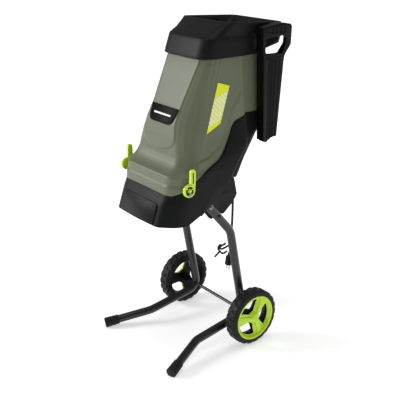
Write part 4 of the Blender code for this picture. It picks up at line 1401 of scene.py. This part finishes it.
@dataclass
class Wheel(Assembly):
    """One wheel: lugged tyre, dished black body and lime spoke cap."""

    name: str
    side: int
    outer_x: float = 188.0
    inner_x: float = 146.0
    lugs: int = 22
    lug_depth: float = 3.4
    spoke_angles: tuple[float, ...] = (55.0, 175.0, 295.0)
    steps_per_lug: int = 12
    block_share: float = 0.6
    # The tread's section: distance across, radius and share of the lugs' depth
    section: tuple[Point3, ...] = (
        (-21, 70.2, 0.0), (-20.6, 74, 0.0), (-20.2, 77.5, 0.1), (-18.4, 82.6, 0.5), (-15.2, 85.6, 1.0),
        (-3.2, 86, 1.0), (-1.6, 85.6, 0.3), (1.6, 85.6, 0.3), (3.2, 86, 1.0), (15.2, 85.6, 1.0),
        (18.4, 82.6, 0.5), (20.2, 77.5, 0.1), (20.6, 74, 0.0), (21, 70.2, 0.0),
    )
    bead: tuple[Point2, ...] = ((20.2, 69.9), (-20.2, 69.9))
    # A spoke's ridge: distance from the hub, half its width and its height
    ridge: tuple[Point3, ...] = (
        (9, 4.4, 0.9), (16, 5.2, -0.6), (40, 7.4, -4.2), (56, 9.6, -6.0), (61, 10.4, -6.2),
    )

    @property
    def body(self) -> str:
        """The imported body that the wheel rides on."""
        return f"{self.name}_wheel"

    @property
    def hub(self) -> Vector:
        """The wheel's axis in the machine's middle plane."""
        return Vector((0, AXLE.y, AXLE.z))

    @property
    def face(self) -> Matrix:
        """Local x to the rear, y up and z outwards, from the axle."""
        turn = Matrix(((0, 0, self.side, 0), (1, 0, 0, 0), (0, 1, 0, 0), (0, 0, 0, 1)))
        return Matrix.Translation(self.hub) @ turn

    def lug_sink(self, across: float, share: float, step: int) -> float:
        """How deep the tread lies below its highest at one point, in millimetres.

        Args:
            across: distance from the tyre's middle, in millimetres.
            share: share of the lugs' depth at that distance.
            step: the point's number round the tyre.

        Returns:
            The depth.
        """
        phase = (step / self.steps_per_lug + (0.5 if across > 0 else 0.0)) % 1.0
        lift = 1.0 if phase < self.block_share else 0.0
        edge = min(phase, abs(self.block_share - phase), 1 - phase)
        return self.lug_depth * share * (1 - lift) + (0.5 * share if edge < 0.05 else 0.0)

    def tyre(self) -> None:
        """Blocks that alternate across a thin centre rib, with stepped shoulders."""
        middle = (self.outer_x + self.inner_x) / 2
        rings = []
        total = self.lugs * self.steps_per_lug
        for step in range(total):
            angle = 2 * math.pi * step / total
            outward = Vector((0, math.cos(angle), math.sin(angle)))
            ring = []
            for across, radius, share in self.section:
                reach = (radius - self.lug_sink(across, share, step)) * MM
                ring.append(self.hub + Vector((self.side * (middle + across) * MM, 0, 0)) + outward * reach)
            for across, radius in self.bead:
                ring.append(self.hub + Vector((self.side * (middle + across) * MM, 0, 0)) + outward * radius * MM)
            rings.append(ring)
        self.add(f"{self.name}_tread", loft(rings), self.body, [f"{self.name}_tyre"], "tyre_rubber", 28)

    def windows(self, inner: float, outer: float, half_angle: float, inner_half: float) -> list[list[Point2]]:
        """Three rounded openings between the spokes.

        Args:
            inner: radius of their corners at the hub, in millimetres.
            outer: radius of their arcs at the rim.
            half_angle: half of an opening's angle at the rim, in degrees.
            inner_half: the same at the hub.

        Returns:
            Their outlines, in metres.
        """
        shapes = []
        for spoke in self.spoke_angles:
            centre = spoke + 60
            corners: list[Point2] = []
            for step in range(9):
                angle = math.radians(centre - half_angle + 2 * half_angle * step / 8)
                corners.append((outer * math.cos(angle), outer * math.sin(angle)))
            for offset in (inner_half, -inner_half):
                angle = math.radians(centre + offset)
                corners.append((inner * math.cos(angle), inner * math.sin(angle)))
            radii = [5.0] + [2.0] * 7 + [5.0, 5.0, 5.0]
            shapes.append([(x * MM, y * MM) for x, y in rounded(corners, radii)])
        return shapes

    def rim_body(self) -> None:
        """The black moulding that holds the tyre, with ribs behind its spokes."""
        low, high = self.inner_x, self.outer_x
        profile: list[Point2] = [
            (69.5, low + 1), (69.5, high - 17), (62, high - 17), (60, low + 24), (15, low + 24), (13, high - 13),
            (5.3, high - 13), (5.3, low - 4), (12, low - 4), (15, low + 18), (60, low + 18), (63, low + 1),
        ]
        mesh = turned(profile, self.hub, Vector((self.side, 0, 0)), 96)
        matrix = self.face @ Matrix.Translation((0, 0, (low + 21) * MM))
        holes = [sheet_cut([shape], 30 * MM, matrix) for shape in self.windows(26, 56, 40, 24)]
        mesh = bevelled(combined(mesh, merged(holes)), 0.8, 2)
        self.add(f"{self.name}_rim", mesh, self.body, [f"{self.name}_wheel_body"], "black_polypropylene")

    def spoke_cap(self) -> None:
        """The lime cap: a rolled ring, three faceted spokes and a domed hub."""
        high = self.outer_x
        profile: list[Point2] = [
            (POINT, high + 2.4), (6, high + 2.1), (10.5, high + 1), (13, high - 0.8), (15, high - 3.6),
            (20, high - 6.4), (55, high - 9), (58.5, high - 8.6), (60.2, high - 7), (63.2, high - 1.4),
            (64.4, high - 0.3), (67.6, high), (68.9, high - 0.5), (69.3, high - 1.6), (69.3, high - 16.4),
            (61.6, high - 16.4), (58, high - 13), (15, high - 12.6), (9, high - 12.6), (9, high - 1.4),
            (POINT, high - 1.4),
        ]
        mesh = turned(profile, self.hub, Vector((self.side, 0, 0)), 96)
        matrix = self.face @ Matrix.Translation((0, 0, high * MM))
        holes = [sheet_cut([shape], 30 * MM, matrix) for shape in self.windows(21, 57.5, 39, 27)]
        mesh = bevelled(combined(mesh, merged(holes)), 0.9, 2, 40)
        ridges = [self.spoke_ridge(angle) for angle in self.spoke_angles]
        self.add(
            f"{self.name}_spoke_cap", merged([mesh] + ridges), self.body, [f"{self.name}_hub_trim"], "lime_gloss"
        )

    def spoke_ridge(self, angle: float) -> bpy.types.Mesh:
        """A raised facet that widens from the hub to the ring.

        Args:
            angle: the spoke's angle, in degrees.

        Returns:
            The facet.
        """
        high = self.outer_x
        turn = math.radians(angle)
        along = Vector((math.cos(turn), math.sin(turn)))
        across = Vector((-along.y, along.x))
        rings = []
        for reach, half, top in self.ridge:
            section = (
                (-half - 3, high - 10), (-half, high + top), (0, high + top + 1.2), (half, high + top),
                (half + 3, high - 10),
            )
            ring = []
            for offset, height in section:
                flat = along * reach + across * offset
                ring.append(self.face @ (Vector((flat.x, flat.y, height)) * MM))
            rings.append(ring)
        return bevelled(loft(rings, closed=False), 0.5, 2)

    def build(self) -> None:
        """Make the wheel."""
        self.tyre()
        self.rim_body()
        self.spoke_cap()
        self.paints.dress_nodes("zinc_steel", [f"{self.name}_push_nut"])
        self.paints.dress_nodes("black_polypropylene", [f"{self.name}_wheel_spacer"])


@dataclass
class Tub(Assembly):
    """The black lower housing with the motor cover and the hinge under it."""

    wall: float = 3.2
    levels: tuple[Level, ...] = (
        (414, 141, -290, 97, -246, -130, 100, -60),
        (482, 142, -266, 96, -230, -100, 100, -25),
        (508, 142, -252, 95, -222, -72, 100, 2),
        (560, 142, -240, 95, -212, -42, 100, 28),
        (612, 135, -230, 95, -200, 2, 100, 61),
        (650, 128, -220, 95, -190, 7, 100, 85),
        (702, 120, -210, 95, -180, 7, 100, 85),
    )
    parting: tuple[Point2, ...] = (
        (-245, 507), (-225, 520), (-187, 546), (-93, 590), (-61, 640), (-47, 671), (-36, 682), (6, 693),
    )
    parting_rounds: tuple[float, ...] = (0, 14, 14, 22, 12, 8, 12, 0)
    lower_edge: tuple[Point2, ...] = ((-213, 424), (-162, 447), (-90, 503), (-57, 530), (-16, 509))
    hinge_lug: tuple[Point2, ...] = (
        (83, 655), (99, 655), (106, 660), (108, 668), (105, 676), (98, 679), (83, 679),
    )
    cover_edge: tuple[Point2, ...] = (
        (-146, 458), (-54, 404), (-20, 431), (-2, 454), (-14, 508), (-56, 529),
    )
    cover_hollow: tuple[Point2, ...] = (
        (-141, 462), (-54.3, 407.9), (-22.3, 433.6), (-5.3, 454.8), (-17.2, 506), (-20, 512),
        (-58, 540), (-152, 474),
    )
    floor_flange: tuple[Point2, ...] = (
        (-168, 440), (-162, 443.2), (-90, 499.2), (-57, 526.2), (-57, 529.4), (-90, 502.4),
        (-162, 446.4), (-168, 443.6),
    )
    leg_ear: tuple[Point2, ...] = (
        (-142, 460), (-137, 446), (-104, 402), (-80, 408), (-74, 470), (-106, 484),
    )
    vent_columns: tuple[int, ...] = (-4, -3, -2, -1, 1, 2, 3, 4)
    vent_pitch: float = 18.0

    @classmethod
    def parting_line(cls) -> list[Point2]:
        """The line in side view where the hood meets the tub."""
        return rounded(cls.parting, cls.parting_rounds, 4)

    def shell(self) -> bpy.types.Mesh:
        """The lofted shell before it is trimmed, with a lip that reaches in to the narrower hood.

        Returns:
            The shell.
        """
        heights = [414 + 4.0 * step for step in range(73)]
        outer, inner = [], []
        for z in heights:
            sizes = soft_table(self.levels, z, 7.0)
            outer.append(ring_at(body_outline(sizes, 0.0, 4.0), z))
            lip = min(sizes[0], soft_table(Hood.levels, z, 3.0)[0] + 1.5) if z > 540 else sizes[0]
            inner.append(ring_at(body_outline([lip, *sizes[1:]], self.wall, 4.0), z))
        return loft(outer + inner[::-1])

    def build(self) -> None:
        """Trim the shell, add its panel, ledges and hinge lugs, and make what hangs under it."""
        line = self.parting_line()
        above = [(-CLEAR, line[0][1]), *line, (CLEAR_SIDE, line[-1][1]), (CLEAR_SIDE, 800), (-CLEAR, 800)]
        mesh = combined(self.shell(), side_plate([above], -CLEAR_SIDE, CLEAR_SIDE))
        edge = rounded(self.lower_edge, [0, 20, 12, 12, 0], 4)
        below = [(-CLEAR, 423), *edge, (CLEAR_SIDE, edge[-1][1]), (CLEAR_SIDE, 380), (-CLEAR, 380)]
        mesh = combined(mesh, side_plate([below], -CLEAR_SIDE, CLEAR_SIDE))
        mesh = combined(mesh, self.front_panel(), "UNION")
        lug = rounded(self.hinge_lug, [0, 4, 5, 5, 5, 4, 0], 4)
        for _, side in SIDES:
            mesh = combined(mesh, sided_plate(lug, side, 45, 60), "UNION")
        bores = [turned_across([(POINT, -70), (4.3, -70), (4.3, 70), (POINT, 70)], *HINGE)]
        section: list[Point2] = [(POINT, -22), (3.3, -22), (3.3, 6), (POINT, 6)]
        for _, side in SIDES:
            bores.append(turned(section, place(side * 142, *LATCH_PIN), Vector((side, 0, 0)), 24))
        mesh = bevelled(combined(mesh, merged(bores)), 0.9, 2, 38)
        self.add("tub", mesh, "stand", ["base_housing"], "black_polypropylene", 40)
        self.cover()
        self.paints.dress_nodes("black_polypropylene", ["interlock_switch"])
        steel = ["hinge_pin", "motor_body", "motor_plate", "chip_deflector", "left_latch_pin", "right_latch_pin"]
        steel += ["motor_shaft", "blade_disc", "disc_nut", "blade_a", "blade_b", "blade_screw_a", "blade_screw_b"]
        self.paints.dress_nodes("zinc_steel", steel)

    def front_panel(self) -> bpy.types.Mesh:
        """The raised field on the tub's front, with rounded upper corners.

        Returns:
            The field, as a solid that joins the shell.
        """
        points = rounded([(-78, 428), (78, 428), (78, 482), (-78, 482)], [0, 0, 14, 14], 6)
        rings = []
        for forward, inset in ((-5.0, 0.0), (1.2, 0.0), (2.0, 0.8)):
            ring = []
            for x, z in points:
                inward = 1 - inset / 60
                height = 428 + (z - 428) * inward
                front = soft_table(self.levels, height, 7.0)[1] - 4.0 * (1 - 0.3 * min(abs(x) / 48, 1.0))
                ring.append(place(x * inward, front - forward, height))
            rings.append(ring)
        return loft(rings, closed=False)

    def cover(self) -> None:
        """The motor cover with its floor flange, leg ears and vent slots."""
        mesh = side_plate([rounded(self.cover_edge, 6.0, 4)], -96, 96)
        mesh = combined(bevelled(mesh, 4.0, 3), side_plate([self.floor_flange], -140, 140), "UNION")
        ear = rounded(self.leg_ear, 6.0, 4)
        for _, side in SIDES:
            mesh = combined(mesh, sided_plate(ear, side, 94, 101.1), "UNION")
        cuts = [side_plate([self.cover_hollow], -92.8, 92.8)]
        for column in self.vent_columns:
            x = column * self.vent_pitch
            slot = rounded([(x - 3, -12), (x + 3, -12), (x + 3, 12), (x - 3, 12)], 3.0, 4)
            matrix = Matrix.Translation(place(0, -37, 417.5)) @ Matrix.Rotation(math.radians(38.5), 4, "X")
            cuts.append(sheet_cut([[(across * MM, up * MM) for across, up in slot]], 14 * MM, matrix))
        bore: list[Point2] = [(POINT, -12), (5.6, -12), (5.6, 6), (POINT, 6)]
        cuts.append(turned(bore, place(*LEAD_WALL), Vector(LEAD_AXIS), 24))
        mesh = cut_by(mesh, cuts)
        self.add(
            "motor_housing", bevelled(mesh, 0.6, 2, 50), "stand", ["motor_cover"], "black_polypropylene", 40
        )


@dataclass
class Hood(Assembly):
    """The sage hopper hood with its decals, and the feed throat inside it."""

    wall: float = 3.0
    levels: tuple[Level, ...] = (
        (500, 144, -256, 97, -224, 7, 100, 88),
        (530, 144, -252, 97, -220, 7, 100, 88),
        (533, 141.8, -248.6, 96, -217, 7, 100, 88),
        (556, 141, -246, 96, -214.5, 7, 100, 88),
        (560, 137.5, -240, 94, -208, 7, 100, 88),
        (566, 135, -232.5, 93, -200, 7, 100, 88),
        (574, 132.4, -225, 92, -193.5, 7, 100, 88),
        (584, 129.8, -218, 90.5, -187.5, 7, 100, 88),
        (600, 127, -212, 88, -182, 7, 100, 88),
        (650, 120, -204, 76, -170, 7, 100, 88),
        (684, 117, -196, 68, -158, 7, 100, 88),
        (723, 112, -177, 64, -140, 7, 100, 88),
        (852.4, 97, -117, 76, -92, 7, 94, 85),
    )
    top: float = 852.4
    plateau: float = 3.2
    crease: tuple[Point2, ...] = ((586, -230), (590, -147), (623, -85), (712, -42), (761, -3), (852, 0))
    arc_top: float = 654.0
    arc_height: float = 43.0
    hinge_arm: tuple[Point2, ...] = (
        (86, 700), (86, 740), (95, 730), (104, 700), (108, 674), (106, 662), (98, 658), (91, 661),
        (88, 668), (90, 690),
    )

    @staticmethod
    def soft_step(value: float, low: float, high: float) -> float:
        """0 below low, 1 above high and smooth between."""
        part = min(max((value - low) / (high - low), 0.0), 1.0)
        return part * part * (3 - 2 * part)

    @staticmethod
    def bump(value: float, centre: float, width: float) -> float:
        """A round bump of height 1 about a centre."""
        return math.exp(-(((value - centre) / width) ** 2))

    def plateau_share(self, x: float, z: float, facet: float) -> float:
        """How far a point of the front lies inside the raised field, which ends below in an arc.

        Args:
            x: the point's distance from the middle, in millimetres.
            z: its height.
            facet: half the width of the front at that height.

        Returns:
            0 outside the field and 1 inside it.
        """
        half = facet - 4.0
        if z >= self.arc_top:
            edge = half - abs(x)
        else:
            edge = half - math.hypot(x, (self.arc_top - z) * half / self.arc_height)
        return self.soft_step(edge, -1.6, 1.6)

    def flutes(self, across: float, z: float) -> float:
        """Relief of the corner facet, from 0 at the front's edge to 1 at the side."""
        fade = self.soft_step(z, 590, 640)
        return fade * (1.8 * self.bump(across, 0.4, 0.1) - 2.2 * self.bump(across, 0.68, 0.15))

    def side_relief(self, y: float, z: float, shoulder: float) -> float:
        """Relief of the side: a flute behind the corner and a bulge behind the long crease.

        Args:
            y: the point's distance behind the axle, in millimetres.
            z: its height.
            shoulder: where the side begins at that height.

        Returns:
            How far the side stands out there, in millimetres.
        """
        fade = self.soft_step(z, 600, 650)
        flute = 2.3 * self.bump(y, shoulder + 25, 5.0) - 1.6 * self.bump(y, shoulder + 12, 6.0)
        line = soft_table(self.crease, z, 6.0)[0]
        bulge = 3.0 * self.soft_step(y - line, -5, 5) * self.soft_step(z, 562, 592)
        return flute * fade + bulge * (1 - self.soft_step(y, -12, 6) * (1 - self.soft_step(z, 700, 780)) * 0.6)

    def ring(self, z: float, inner: bool) -> list[Vector]:
        """One level of the shell, with the raised fields pressed into it.

        Args:
            z: the level's height, in millimetres.
            inner: whether it belongs to the inside, where the relief is weaker.

        Returns:
            The level's points, in metres.
        """
        sizes = soft_table(self.levels, z, 1.6)
        wall = self.wall if inner else 0.0
        outline = divided(body_outline(sizes, wall, 0.0, 10), body_outline(self.levels[8][1:], 0.0, 0.0, 10), 4.0)
        wide, front, facet, shoulder = sizes[:4]
        ring = []
        for x, y in outline:
            push = Vector((0.0, 0.0))
            across = (abs(x) - facet) / (wide - facet)
            if y < shoulder + 2:
                push.y -= self.plateau * self.plateau_share(x, z, facet)
            if 0 < across < 0.98 and y < shoulder:
                lift = self.flutes(across, z)
                push += Vector((math.copysign(0.6 * lift, x), -0.8 * lift))
            if abs(x) > wide - wall - 1 and y < 2:
                push.x += math.copysign(self.side_relief(y, z, shoulder), x)
            push *= 0.6 if inner else 1.0
            ring.append(place(x + push.x, y + push.y, z))
        return ring

    def shell(self) -> None:
        """Loft the shell, trim it along the parting line and add the hinge arms."""
        heights = [500.0] + [504 + 3.0 * step for step in range(116)] + [self.top]
        outer = [self.ring(z, False) for z in heights]
        inner = [self.ring(z, True) for z in heights]
        mesh = loft(outer + inner[::-1])
        line = [(y - 0.5, z + 0.6) for y, z in Tub.parting_line()]
        below = [(-CLEAR, line[0][1]), *line, (CLEAR_SIDE, line[-1][1]), (CLEAR_SIDE, 440), (-CLEAR, 440)]
        mesh = combined(mesh, side_plate([below], -CLEAR_SIDE, CLEAR_SIDE))
        arm = rounded(self.hinge_arm, [0, 0, 5, 5, 5, 4, 4, 3, 3, 2], 4)
        for _, side in SIDES:
            mesh = combined(mesh, sided_plate(arm, side, 30, 44), "UNION")
        mesh = combined(mesh, turned_across([(POINT, -75), (4.3, -75), (4.3, 75), (POINT, 75)], *HINGE))
        self.add("hood", bevelled(mesh, 0.9, 2, 45), "hood", ["hood_shell"], "sage_polypropylene", 40)

    def label(self) -> None:
        """A black plate with rounded lower corners and one plain pale bar."""
        lean = math.atan2(20, 39)
        matrix = Matrix.Translation(place(0, -188.2, 703.6)) @ Matrix.Rotation(math.pi / 2 - lean, 4, "X")
        matrix = matrix @ Matrix.Translation((0, 0, 3.3 * MM))
        corners = [(-49, -27), (49, -27), (60, 21), (-60, 21)]
        outline = rounded(corners, [17, 17, 2, 2], 7)
        plate = sheet_cut([[(x * MM, y * MM) for x, y in outline]], 2.2 * MM, matrix)
        self.add("front_label", bevelled(plate, 0.5, 2), "hood", ["label_plate"], "label_gloss")
        bar = rounded([(-38, -5), (38, -5), (38, 0), (-38, 0)], 2.3, 6)
        raised = matrix @ Matrix.Translation((0, 0, 1.25 * MM))
        bar_mesh = sheet_cut([[(x * MM, y * MM) for x, y in bar]], 0.3 * MM, raised)
        self.paints.dress(piece("front_label_bar", bar_mesh, "hood"), "label_print")

    def stickers(self) -> None:
        """The slanted sticker on each side, laid on the side face."""
        slope = math.atan2(24, 202)
        for name, side in SIDES:
            outline = rounded([(-86, 792), (-47, 779), (-87, 683), (-137, 661)], [2, 2, 2, 1], 3)
            plate = side_plate([outline], -0.3, 0.3)
            centre = place(0, -90, 727)
            turn = Matrix.Rotation(-side * slope, 4, "Y")
            shift = Matrix.Translation(centre + Vector((side * 114.2 * MM, 0, 0)))
            plate.transform(shift @ turn @ Matrix.Translation(-centre))
            self.add(f"{name}_sticker", plate, "hood", [f"{name}_side_decal"], "side_sticker")

    def build(self) -> None:
        """Make the hood and dress what is inside it."""
        self.shell()
        self.label()
        self.stickers()
        self.paints.dress_nodes("black_polypropylene", ["feed_throat", "pusher_holder"])
        self.paints.dress_nodes("soft_rubber", ["splash_guard"])


@dataclass
class MouthCap(Assembly):
    """The charcoal funnel mouth on top of the hood."""

    # Levels: height, half width, front, half width behind, rear and fall towards the rear
    outer: tuple[Level, ...] = (
        (852.4, 103, -127, 96, 88, 0.0),
        (853.4, 104, -128.4, 97, 90, 0.0),
        (862, 103.4, -126, 98, 95, 0.0),
        (863.5, 103.3, -125.6, 98.5, 151, -0.04),
        (896, 102.4, -114.4, 100.7, 153.2, 0.03),
        (902, 102.2, -112.6, 101, 153.6, 0.045),
        (907, 101.6, -109.6, 101, 153.8, 0.055),
        (910.5, 100.8, -104, 100.6, 153.6, 0.06),
        (920, 102, -84, 101.4, 152.6, 0.06),
        (932, 105, -64, 104.2, 151.4, 0.06),
        (941, 106.8, -50, 105.8, 150.4, 0.06),
        (943.4, 107, -47, 106, 150, 0.06),
        (944, 106, -45.4, 105, 149, 0.06),
    )
    inner: tuple[Level, ...] = (
        (944, 103.8, -43, 102.8, 146.8, 0.06),
        (942.4, 102.4, -41.4, 101.4, 145.4, 0.06),
        (926, 96, -56, 95, 125, 0.048),
        (905, 88, -74, 87, 100, 0.03),
        (854, 80, -92, 79, 68, 0.0),
        (854, 83, -95, 82, 71, 0.0),
        (900, 96, -104, 95, 110, 0.06),
        (853, 99, -121, 94, 84, 0.0),
    )

    def outline(self, sizes: Sequence[float]) -> list[Point2]:
        """One level of the mouth, with a broad round at each front corner.

        Args:
            sizes: half width, front, half width behind and rear, in millimetres.

        Returns:
            The closed outline.
        """
        wide, front, narrow, rear = sizes
        half = [(0, front - 3), (wide, front), (wide, 7), (narrow, rear), (0, rear)]
        right = rounded(half, [0, 52, 0, 22, 0], 14)
        return right + [(-x, y) for x, y in reversed(right[1:-1])]

    def build(self) -> None:
        """Loft the cap and set two guide ribs inside its mouth."""
        rings = []
        for z, *sizes, tilt in self.outer + self.inner:
            rings.append(ring_at(self.outline(sizes), z, tilt, sizes[1] - 3))
        mesh = bevelled(loft(rings), 0.7, 2, 50)
        ribs = []
        for y in (38, 72):
            rib = [(y, 872), (y + 4, 872), (y + 4, 926), (y, 926)]
            ribs.append(side_plate([rib], -99, -86))
        mesh = combined(mesh, merged(ribs), "UNION")
        self.add("mouth_cap", mesh, "hood", ["hopper_cap"], "charcoal_mouth", 38)


@dataclass
class Plunger(Assembly):
    """The plunger with its ribbed grip and fluted blade."""

    inner_x: float = 109.5
    outer_x: float = 137.5
    edge: tuple[Point2, ...] = (
        (44, 921), (48, 927), (112, 935), (146, 930), (150.5, 924), (148.8, 874), (127, 848),
        (124, 836), (106, 618), (92, 619), (76, 611), (66, 606), (56, 610), (48, 850), (45, 868),
    )
    rounds: tuple[float, ...] = (4, 3, 20, 3, 3, 6, 5, 4, 4, 7, 7, 6, 3, 8, 8)
    window: tuple[Point2, ...] = (
        (54, 897), (124, 901), (130, 893), (129, 881), (117, 851), (58, 856), (54, 861),
    )
    grip_hollow: tuple[Point2, ...] = ((50, 903), (140, 908), (146, 900), (145, 876), (123, 850), (52, 850))
    # Flutes of the blade: place across it as a share of its width, and depth
    flutes: tuple[Point2, ...] = ((0.2, 0.8), (0.4, 2.4), (0.58, 2.4), (0.8, 1.4))

    def build(self) -> None:
        """Cut the grip's window and grooves, the blade's flutes and the slot for the holder."""
        outlines = [rounded(self.edge, self.rounds, 4), rounded(self.window, 4.0, 4)]
        mesh = bevelled(side_plate(outlines, self.inner_x, self.outer_x), 1.6, 3)
        hollow = rounded(self.grip_hollow, 5.0, 4)
        cuts = [side_plate([hollow], self.inner_x - 5, self.outer_x - 9.5)]
        for share, depth in self.flutes:
            top = 50 + share * 72
            foot = 57 + share * 48
            path = [place(self.outer_x + 5.6 - depth, top, 838), place(self.outer_x + 5.6 - depth, foot, 600)]
            cuts.append(tube(path, 5.6 * MM, 20))
        cuts.append(side_plate([[(52, 843), (120, 843), (120, 846), (52, 846)]], self.outer_x - 1.2, self.outer_x + 4))
        for index in range(4):
            y = 78 + index * 15
            path = [place(self.outer_x + 1.2, y, 907), place(self.outer_x + 1.2, y + 1, 924)]
            cuts.append(bevelled(tube(path, 3.6 * MM, 16), 2.0, 3))
        cuts.append(box(place(100, 56, 590), place(119.6, 90, 824.5)))
        mesh = cut_by(mesh, cuts)
        self.add("plunger", mesh, "pusher_body", ["pusher"], "jet_polypropylene", 40)


@dataclass
class CamLatch(Assembly):
    """One lime cam lever on the tub's side."""

    name: str
    side: int
    knob_lift: float = 10.0
    lever_edge: tuple[Point2, ...] = (
        (-217, 526), (-200, 526), (-197.4, 560), (-198, 580), (-202, 585), (-210, 585), (-214, 580), (-214.6, 560),
    )
    # Slots in the lever and the knob: middle, half width, foot and top
    slots: tuple[Level, ...] = ((-205.8, 2.1, 546, 577), (-222.0, 1.5, 522, 534))

    def build(self) -> None:
        """Make the knob with its dished face, and the lever with its slot."""
        y, z = LATCH_PIN
        low, high = 146.4, 155.5
        knob: list[Point2] = [
            (POINT, low), (17.2, low), (17.8, low + 0.6), (17.8, high - 1.4), (17.2, high - 0.4), (16, high),
            (13.8, high), (13, high - 0.9), (12.6, high - 2.2), (6.6, high - 2.2), (6.0, high - 0.6), (5.2, high),
            (POINT, high),
        ]
        mesh = turned_across(knob, y, z + self.knob_lift, self.side, 56)
        arm = sided_plate(rounded(self.lever_edge, [0, 0, 8, 4, 4, 4, 4, 8], 5), self.side, 147, 153.6)
        mesh = combined(mesh, bevelled(arm, 1.2, 3), "UNION")
        cuts = []
        for middle, half, foot, top in self.slots:
            slot = [(middle - half, foot), (middle + half, foot), (middle + half, top), (middle - half, top)]
            cuts.append(sided_plate(rounded(slot, 1.4, 4), self.side, 150.6, 158))
        hole: list[Point2] = [(POINT, 130), (3.4, 130), (3.4, 170), (POINT, 170)]
        cuts.append(turned_across(hole, y, z, self.side, 24))
        mesh = cut_by(mesh, cuts)
        self.add(
            f"{self.name}_lever", mesh, f"{self.name}_latch", [f"{self.name}_latch_lever"], "lime_gloss", 38
        )
        self.slot_shade()

    def slot_shade(self) -> None:
        """Black sheets of painted shade at the floor of the lever's slot and in the groove round the knob's boss."""
        slot = [(-207.6, 547), (-204, 547), (-204, 576), (-207.6, 576)]
        strip = sided_plate(rounded(slot, 1.4, 4), self.side, 150.2, 152.6)
        dish: list[Point2] = [(6.9, 152.6), (12.2, 152.6), (12.2, 153.9), (11.4, 154.2), (7.6, 154.2), (6.9, 153.9)]
        y, z = LATCH_PIN
        ring = turned_across(dish, y, z + self.knob_lift, self.side, 40)
        gaps = []
        for turn in (20, 140, 260):
            angle = math.radians(turn)
            centre = place(self.side * 153.4, y + 9.6 * math.cos(angle), z + self.knob_lift + 9.6 * math.sin(angle))
            reach = Vector((3, 2.2, 2.2)) * MM
            gaps.append(box(centre - reach, centre + reach))
        ring = combined(ring, merged(gaps))
        # painted shade: black sheets darken the floor of the lever's slot and of the knob's groove
        self.add(
            f"{self.name}_lever_inlay", merged([strip, ring]), f"{self.name}_latch", [], "black_polypropylene"
        )


@dataclass
class Switches(Assembly):
    """The switch box on the left with its three buttons."""

    middle: float = 47.0
    # Each button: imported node, body, finish, height and radius
    spots: tuple[tuple[str, str, str, float, float], ...] = (
        ("on_button", "on_switch", "start_green", 655.0, 9.0),
        ("off_button", "off_switch", "stop_red", 632.0, 9.0),
        ("reset_button", "reset_switch", "black_polypropylene", 611.0, 5.0),
    )

    def build(self) -> None:
        """Make the box with a raised frame, and a dished cap for each button."""
        outline = rounded([(22, 598), (72, 598), (72, 676), (22, 676)], 7.0, 6)
        mesh = bevelled(side_plate([outline], -126, -100.3), 2.4, 3)
        recess = rounded([(27, 603), (67, 603), (67, 671), (27, 671)], 5.0, 6)
        cuts = [side_plate([recess], -130, -125.2)]
        for _, _, _, z, radius in self.spots:
            well: list[Point2] = [(POINT, 120), (radius + 0.4, 120), (radius + 0.4, 132), (POINT, 132)]
            cuts.append(turned_across(well, self.middle, z, -1, 36))
        mesh = cut_by(mesh, cuts)
        self.add("switch_housing", mesh, "stand", ["switch_box"], "black_polypropylene", 38)
        for node, body, finish, z, radius in self.spots:
            cap: list[Point2] = [
                (POINT, 124.5), (radius, 124.5), (radius, 128.7), (radius - 0.5, 129.4), (radius - 1.4, 129.5),
                (radius - 2.4, 128.9), (POINT, 128.5),
            ]
            self.add(f"{node}_cap", turned_across(cap, self.middle, z, -1, 36), body, [node], finish)


def save_sizes() -> None:
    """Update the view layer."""
    bpy.context.view_layer.update()


def main() -> None:
    """Build the stage and every sub-assembly in order."""
    logging.basicConfig(level=logging.INFO, format="%(message)s", stream=sys.stdout)
    Studio().build()
    paints = Paints()
    parts: list[Assembly] = [MainsLead(paints), Stand(paints)]
    parts += [Wheel(paints, name, side) for name, side in SIDES]
    parts += [Tub(paints), Switches(paints)]
    parts += [CamLatch(paints, name, side) for name, side in SIDES]
    parts += [Hood(paints), MouthCap(paints), Plunger(paints)]
    for part in parts:
        part.build()
        LOG.info("built %s", type(part).__name__)
    save_sizes()


if __name__ == "__main__":
    main()
